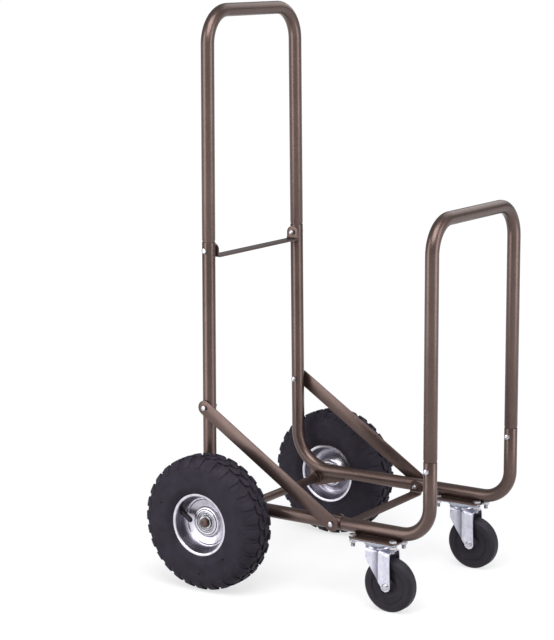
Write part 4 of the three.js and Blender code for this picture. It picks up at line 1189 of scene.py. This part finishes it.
def flat_piece(node, corner, material, thickness):
    """A flat plate with round corners, on top of the box of a CAD node."""
    low, high = box_of(node)
    outline = round_rectangle((low + high) / 2, high.x - low.x, high.y - low.y, corner)
    return plate(outline, material, high.z - thickness, high.z, AXIS_X, Vector((0, 1, 0)), edge=0.6)


mount_corner = 13
mount_thickness = 3
hand_over_pair("caster_mount_plate", flat_piece("caster_mount_right", mount_corner, coat, mount_thickness),
               "cart_frame", "brown_paint", "caster_mount")

caster_plate_low, caster_plate_high = box_of("caster_plate_right")
plate_sheet = 2.5
plate_bottom = caster_plate_high.z - plate_sheet
race_bottom = plate_bottom - 6
race_outline = rounded([(race_bottom, 0, 0), (race_bottom, 24), (race_bottom + 1.6, 26),
                        (plate_bottom - 1.2, 26.5), (plate_bottom + 1, 27), (plate_bottom + 1, 0, 0)], 0.8)
pin_outline = rounded([(caster_plate_low.z, 0, 0), (caster_plate_low.z, 7), (caster_plate_low.z + 2, 9),
                       (caster_plate_low.z + 5, 9), (caster_plate_low.z + 5, 6), (race_bottom, 6),
                       (race_bottom, 0, 0)], 0.6)
pin_place = Vector((kingpin.x, kingpin.y, 0))
caster_top = joined(flat_piece("caster_plate_right", 9, caster_zinc, plate_sheet),
                    lathe(race_outline, caster_zinc, pin_place, AXIS_Z),
                    lathe(pin_outline, caster_zinc, pin_place, AXIS_Z, steps=48))
hand_over_pair("caster_top_plate", caster_top, "cart_frame", "zinc_caster", "caster_plate")

# %% The pressed fork
fork_sheet, pad_step = 2.5, 2.4
cheek_x = 15.9
crown_z = race_bottom - 0.3 - 4 - fork_sheet / 2
crown_bend = 6
foot_radius = 9.5
back_y, nose_y = kingpin.y + 17, kingpin.y - 33.5
crown_fall = 4
brow_y = kingpin.y - 12
pad_start, pad_blend = kingpin.y - 5, 10
cheek_share, bend_share = 0.74, 0.16


def smooth_step(value):
    value = min(1, max(0, value))
    return value * value * (3 - 2 * value)


def crown_height(y):
    """The crown is level round the kingpin and falls towards the nose."""
    return crown_z - crown_fall * smooth_step((brow_y - y) / (brow_y - nose_y)) ** 0.8


def cheek_edges(z):
    """The back and front edges of a cheek at a height: it narrows to a round foot at the axle."""
    foot_top, share = caster_centre.z, max(0, (z - caster_centre.z) / (crown_z - caster_centre.z))
    if z < foot_top:
        half = math.sqrt(max(0.2, foot_radius ** 2 - (foot_top - z) ** 2))
        return caster_centre.y + half, caster_centre.y - half
    foot_back, foot_front = caster_centre.y + foot_radius, caster_centre.y - foot_radius
    back = foot_back + (back_y - foot_back) * min(1, share * 1.45) ** 0.9
    return back, foot_front + (nose_y - foot_front) * share


def side_x(y):
    """Half the width of the fork's middle surface, which steps out to the pad at the front."""
    return cheek_x + pad_step * smooth_step((pad_start - y) / pad_blend)


def fork_point(along, depth):
    """A point of the fork's middle surface. along runs 0 to 1 from the foot up and over half the crown."""
    foot_z = caster_centre.z - foot_radius
    if along < cheek_share:
        top_z = crown_z - crown_bend - crown_fall * 0.5
        z = foot_z + (top_z - foot_z) * along / cheek_share
        back, front = cheek_edges(z)
        y = back + (front - back) * depth
        lift = top_z - foot_z
        blend = smooth_step((z - foot_z) / lift)
        z += (crown_height(y) - crown_z + crown_fall * 0.5) * blend ** 3
        return Vector((side_x(y), y, z))
    turn = min(1, (along - cheek_share) / bend_share)
    y = back_y + (nose_y - back_y) * depth
    level = crown_height(y)
    angle = math.pi / 2 * turn
    x = side_x(y) - crown_bend * (1 - math.cos(angle))
    z = level - crown_bend * (1 - math.sin(angle))
    if along > cheek_share + bend_share:
        x *= (1 - along) / (1 - cheek_share - bend_share)
    return Vector((x, y, z))


shell = bmesh.new()
columns, rows_up = 30, 44
half_grid = [[fork_point(i / rows_up, j / columns) for j in range(columns + 1)] for i in range(rows_up + 1)]
grid = half_grid + [[Vector((-p.x, p.y, p.z)) for p in line] for line in reversed(half_grid[:-1])]
join_rows(shell, [[shell.verts.new(p + Vector((kingpin.x, 0, 0))) for p in line] for line in grid])
fork_sheet_mesh = modified(as_mesh(shell, fork_zinc), SOLIDIFY={"thickness": fork_sheet, "offset": 0},
                           BEVEL=sheet_bevel(0.5))
cup_outline = rounded([(crown_z, 6.5), (crown_z, 24), (crown_z + 2.5, 23.5), (crown_z + 5, 22.5),
                       (crown_z + 5, 6.5)], 1)
fork = joined(fork_sheet_mesh, lathe(cup_outline, fork_zinc, pin_place, AXIS_Z))
hand_over_pair("caster_fork_pressing", fork, "caster_swivel_", "zinc_caster", "caster_fork")

# %% Caster axles
face_x = cheek_x + pad_step + fork_sheet / 2
rivet_outline = rounded([(-face_x - 3.5, 0, 0), (-face_x - 3.5, 3.4), (-face_x - 2.6, 6), (-face_x, 6.5),
                         (-face_x, 4), (face_x, 4), (face_x, 6.5), (face_x + 1.6, 6.5), (face_x + 3.2, 4.4),
                         (face_x + 3.5, 0, 0)], 0.6)
rivet = lathe(rivet_outline, bolt_zinc, Vector((kingpin.x, caster_centre.y, caster_centre.z)), steps=48)
hand_over_pair("caster_axle_rivet", rivet, "caster_swivel_", "zinc_bolts", "caster_axle")

# %% Caster wheels
half_caster = 12.5
caster_radius = caster_centre.z
core_radius = caster_radius - 16
caster_outline = rounded([
    (-half_caster, core_radius), (-half_caster, caster_radius - 6, 2), (-half_caster + 4.5, caster_radius, 3),
    (half_caster - 4.5, caster_radius, 3), (half_caster, caster_radius - 6, 2), (half_caster, core_radius)],
    0.6)
hand_over_pair("caster_wheel_tyre", lathe(caster_outline, caster_rubber, caster_centre), "caster_wheel_",
               "solid_rubber", "caster_tyre")

web = half_caster - 2
core_outline = rounded([
    (-14.3, 4.4), (-14.3, 9.5), (-web + 1, 12.5), (-web + 1, 17), (-web, 20), (-web, core_radius - 2.5),
    (-half_caster + 0.4, core_radius - 1.5), (-half_caster + 0.4, core_radius - 0.2),
    (half_caster - 0.4, core_radius - 0.2), (half_caster - 0.4, core_radius - 1.5), (web, core_radius - 2.5),
    (web, 20), (web - 1, 17), (web - 1, 12.5), (14.3, 9.5), (14.3, 4.4)], 0.6)
hand_over_pair("caster_wheel_core", lathe(core_outline, core_plastic, caster_centre), "caster_wheel_",
               "black_plastic", "caster_core")

# %% [markdown]
# ## The studio
#
# The background of the picture is plain white with a faint shadow under the wheels. The floor is a grey
# diffuse sheet that takes the shadow. For rays from the camera, mirrors and glass it also glows, so that
# it reads white. The lamps light its middle more than the rest, so the glow grows with the distance.
#
# A coated tube shows a soft light band down each side of a dark middle. Two tall lamps draw them, left and
# right of the cart, each about 60 degrees round from the camera. A large one above the camera lights the
# tops of things, and one on the far side gives the tubes that run across their light edge. The world adds
# an even grey-white, and the lamps stay at a plain level, at which a colour renders as it is written.

# %% Floor, world and lamps
floor_mesh = bpy.data.meshes.new("floor")
floor_size = 120
floor_mesh.from_pydata([(-floor_size, -floor_size, 0), (floor_size, -floor_size, 0),
                        (floor_size, floor_size, 0), (-floor_size, floor_size, 0)], [], [(0, 1, 2, 3)])
floor = bpy.data.objects.new("floor", floor_mesh)
bpy.context.scene.collection.objects.link(floor)
floor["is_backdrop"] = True

floor_material = bpy.data.materials.new("white_studio_floor")
floor_material.use_nodes = True
floor_tree = floor_material.node_tree
floor_tree.nodes.remove(floor_tree.nodes["Principled BSDF"])
sheet = add_node(floor_tree, "ShaderNodeBsdfDiffuse", {"Color": linear("#949496")})
rays = add_node(floor_tree, "ShaderNodeLightPath").outputs
seen = add_node(floor_tree, "ShaderNodeMath", {0: rays["Is Camera Ray"], 1: rays["Is Glossy Ray"]},
                operation="MAXIMUM")
seen = add_node(floor_tree, "ShaderNodeMath", {0: seen.outputs[0], 1: rays["Is Transmission Ray"]},
                operation="MAXIMUM")
place = add_node(floor_tree, "ShaderNodeTexCoord").outputs["Object"]
distance = add_node(floor_tree, "ShaderNodeVectorMath", {0: place}, operation="LENGTH")
evened = add_node(floor_tree, "ShaderNodeMapRange", {
    "Value": distance.outputs["Value"], "From Min": 0.6, "From Max": 3.5, "To Min": 0.68, "To Max": 0.93})
glow_strength = add_node(floor_tree, "ShaderNodeMath", {0: seen.outputs[0], 1: evened.outputs[0]},
                         operation="MULTIPLY")
glow = add_node(floor_tree, "ShaderNodeEmission", {"Strength": glow_strength.outputs[0]})
both = add_node(floor_tree, "ShaderNodeAddShader", {0: sheet.outputs[0], 1: glow.outputs[0]})
tree_end = floor_tree.nodes["Material Output"]
floor_tree.links.new(both.outputs[0], tree_end.inputs["Surface"])
floor_mesh.materials.append(floor_material)

world = bpy.data.worlds.new("studio")
world.use_nodes = True
world.node_tree.nodes["Background"].inputs["Color"].default_value = linear("#e6e7ea")
world.node_tree.nodes["Background"].inputs["Strength"].default_value = 0.4
bpy.context.scene.world = world


def soft_lamp(name, place, target, width, height, power):
    """A rectangular area lamp that faces a point."""
    data = bpy.data.lights.new(name, "AREA")
    data.shape = "RECTANGLE"
    data.size, data.size_y = width, height
    data.energy = power
    lamp = bpy.data.objects.new(name, data)
    bpy.context.scene.collection.objects.link(lamp)
    direction = Vector(target) - Vector(place)
    lamp.matrix_world = Matrix.Translation(place) @ direction.to_track_quat("-Z", "Y").to_matrix().to_4x4()
    return lamp


cart_middle = (0, 0, 0.45)
soft_lamp("left_lamp", (-1.5, 0.85, 0.95), (0, 0, 0.95), 0.9, 1.9, 19)
soft_lamp("right_lamp", (0.15, -1.75, 0.95), (0, 0, 0.95), 0.9, 1.9, 19)
soft_lamp("top_lamp", (-1.3, -0.8, 2.6), cart_middle, 2.0, 2.0, 75)
soft_lamp("far_lamp", (1.9, -0.2, 2.3), (0, 0, 0.8), 2.0, 2.0, 18)
bpy.context.scene.view_settings.view_transform = "Standard"

# %% [markdown]
# ## The boxes
#
# The last cell prints the box of the CAD model and that of the visual model, in millimetres.
# The visual model has to stay inside the CAD model's box.

# %% Print both boxes
visual_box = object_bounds()
for label, (low, high) in (("CAD", cad_box), ("visual", visual_box)):
    print(label, "box in mm:", [round(v / MM, 1) for v in low], [round(v / MM, 1) for v in high])
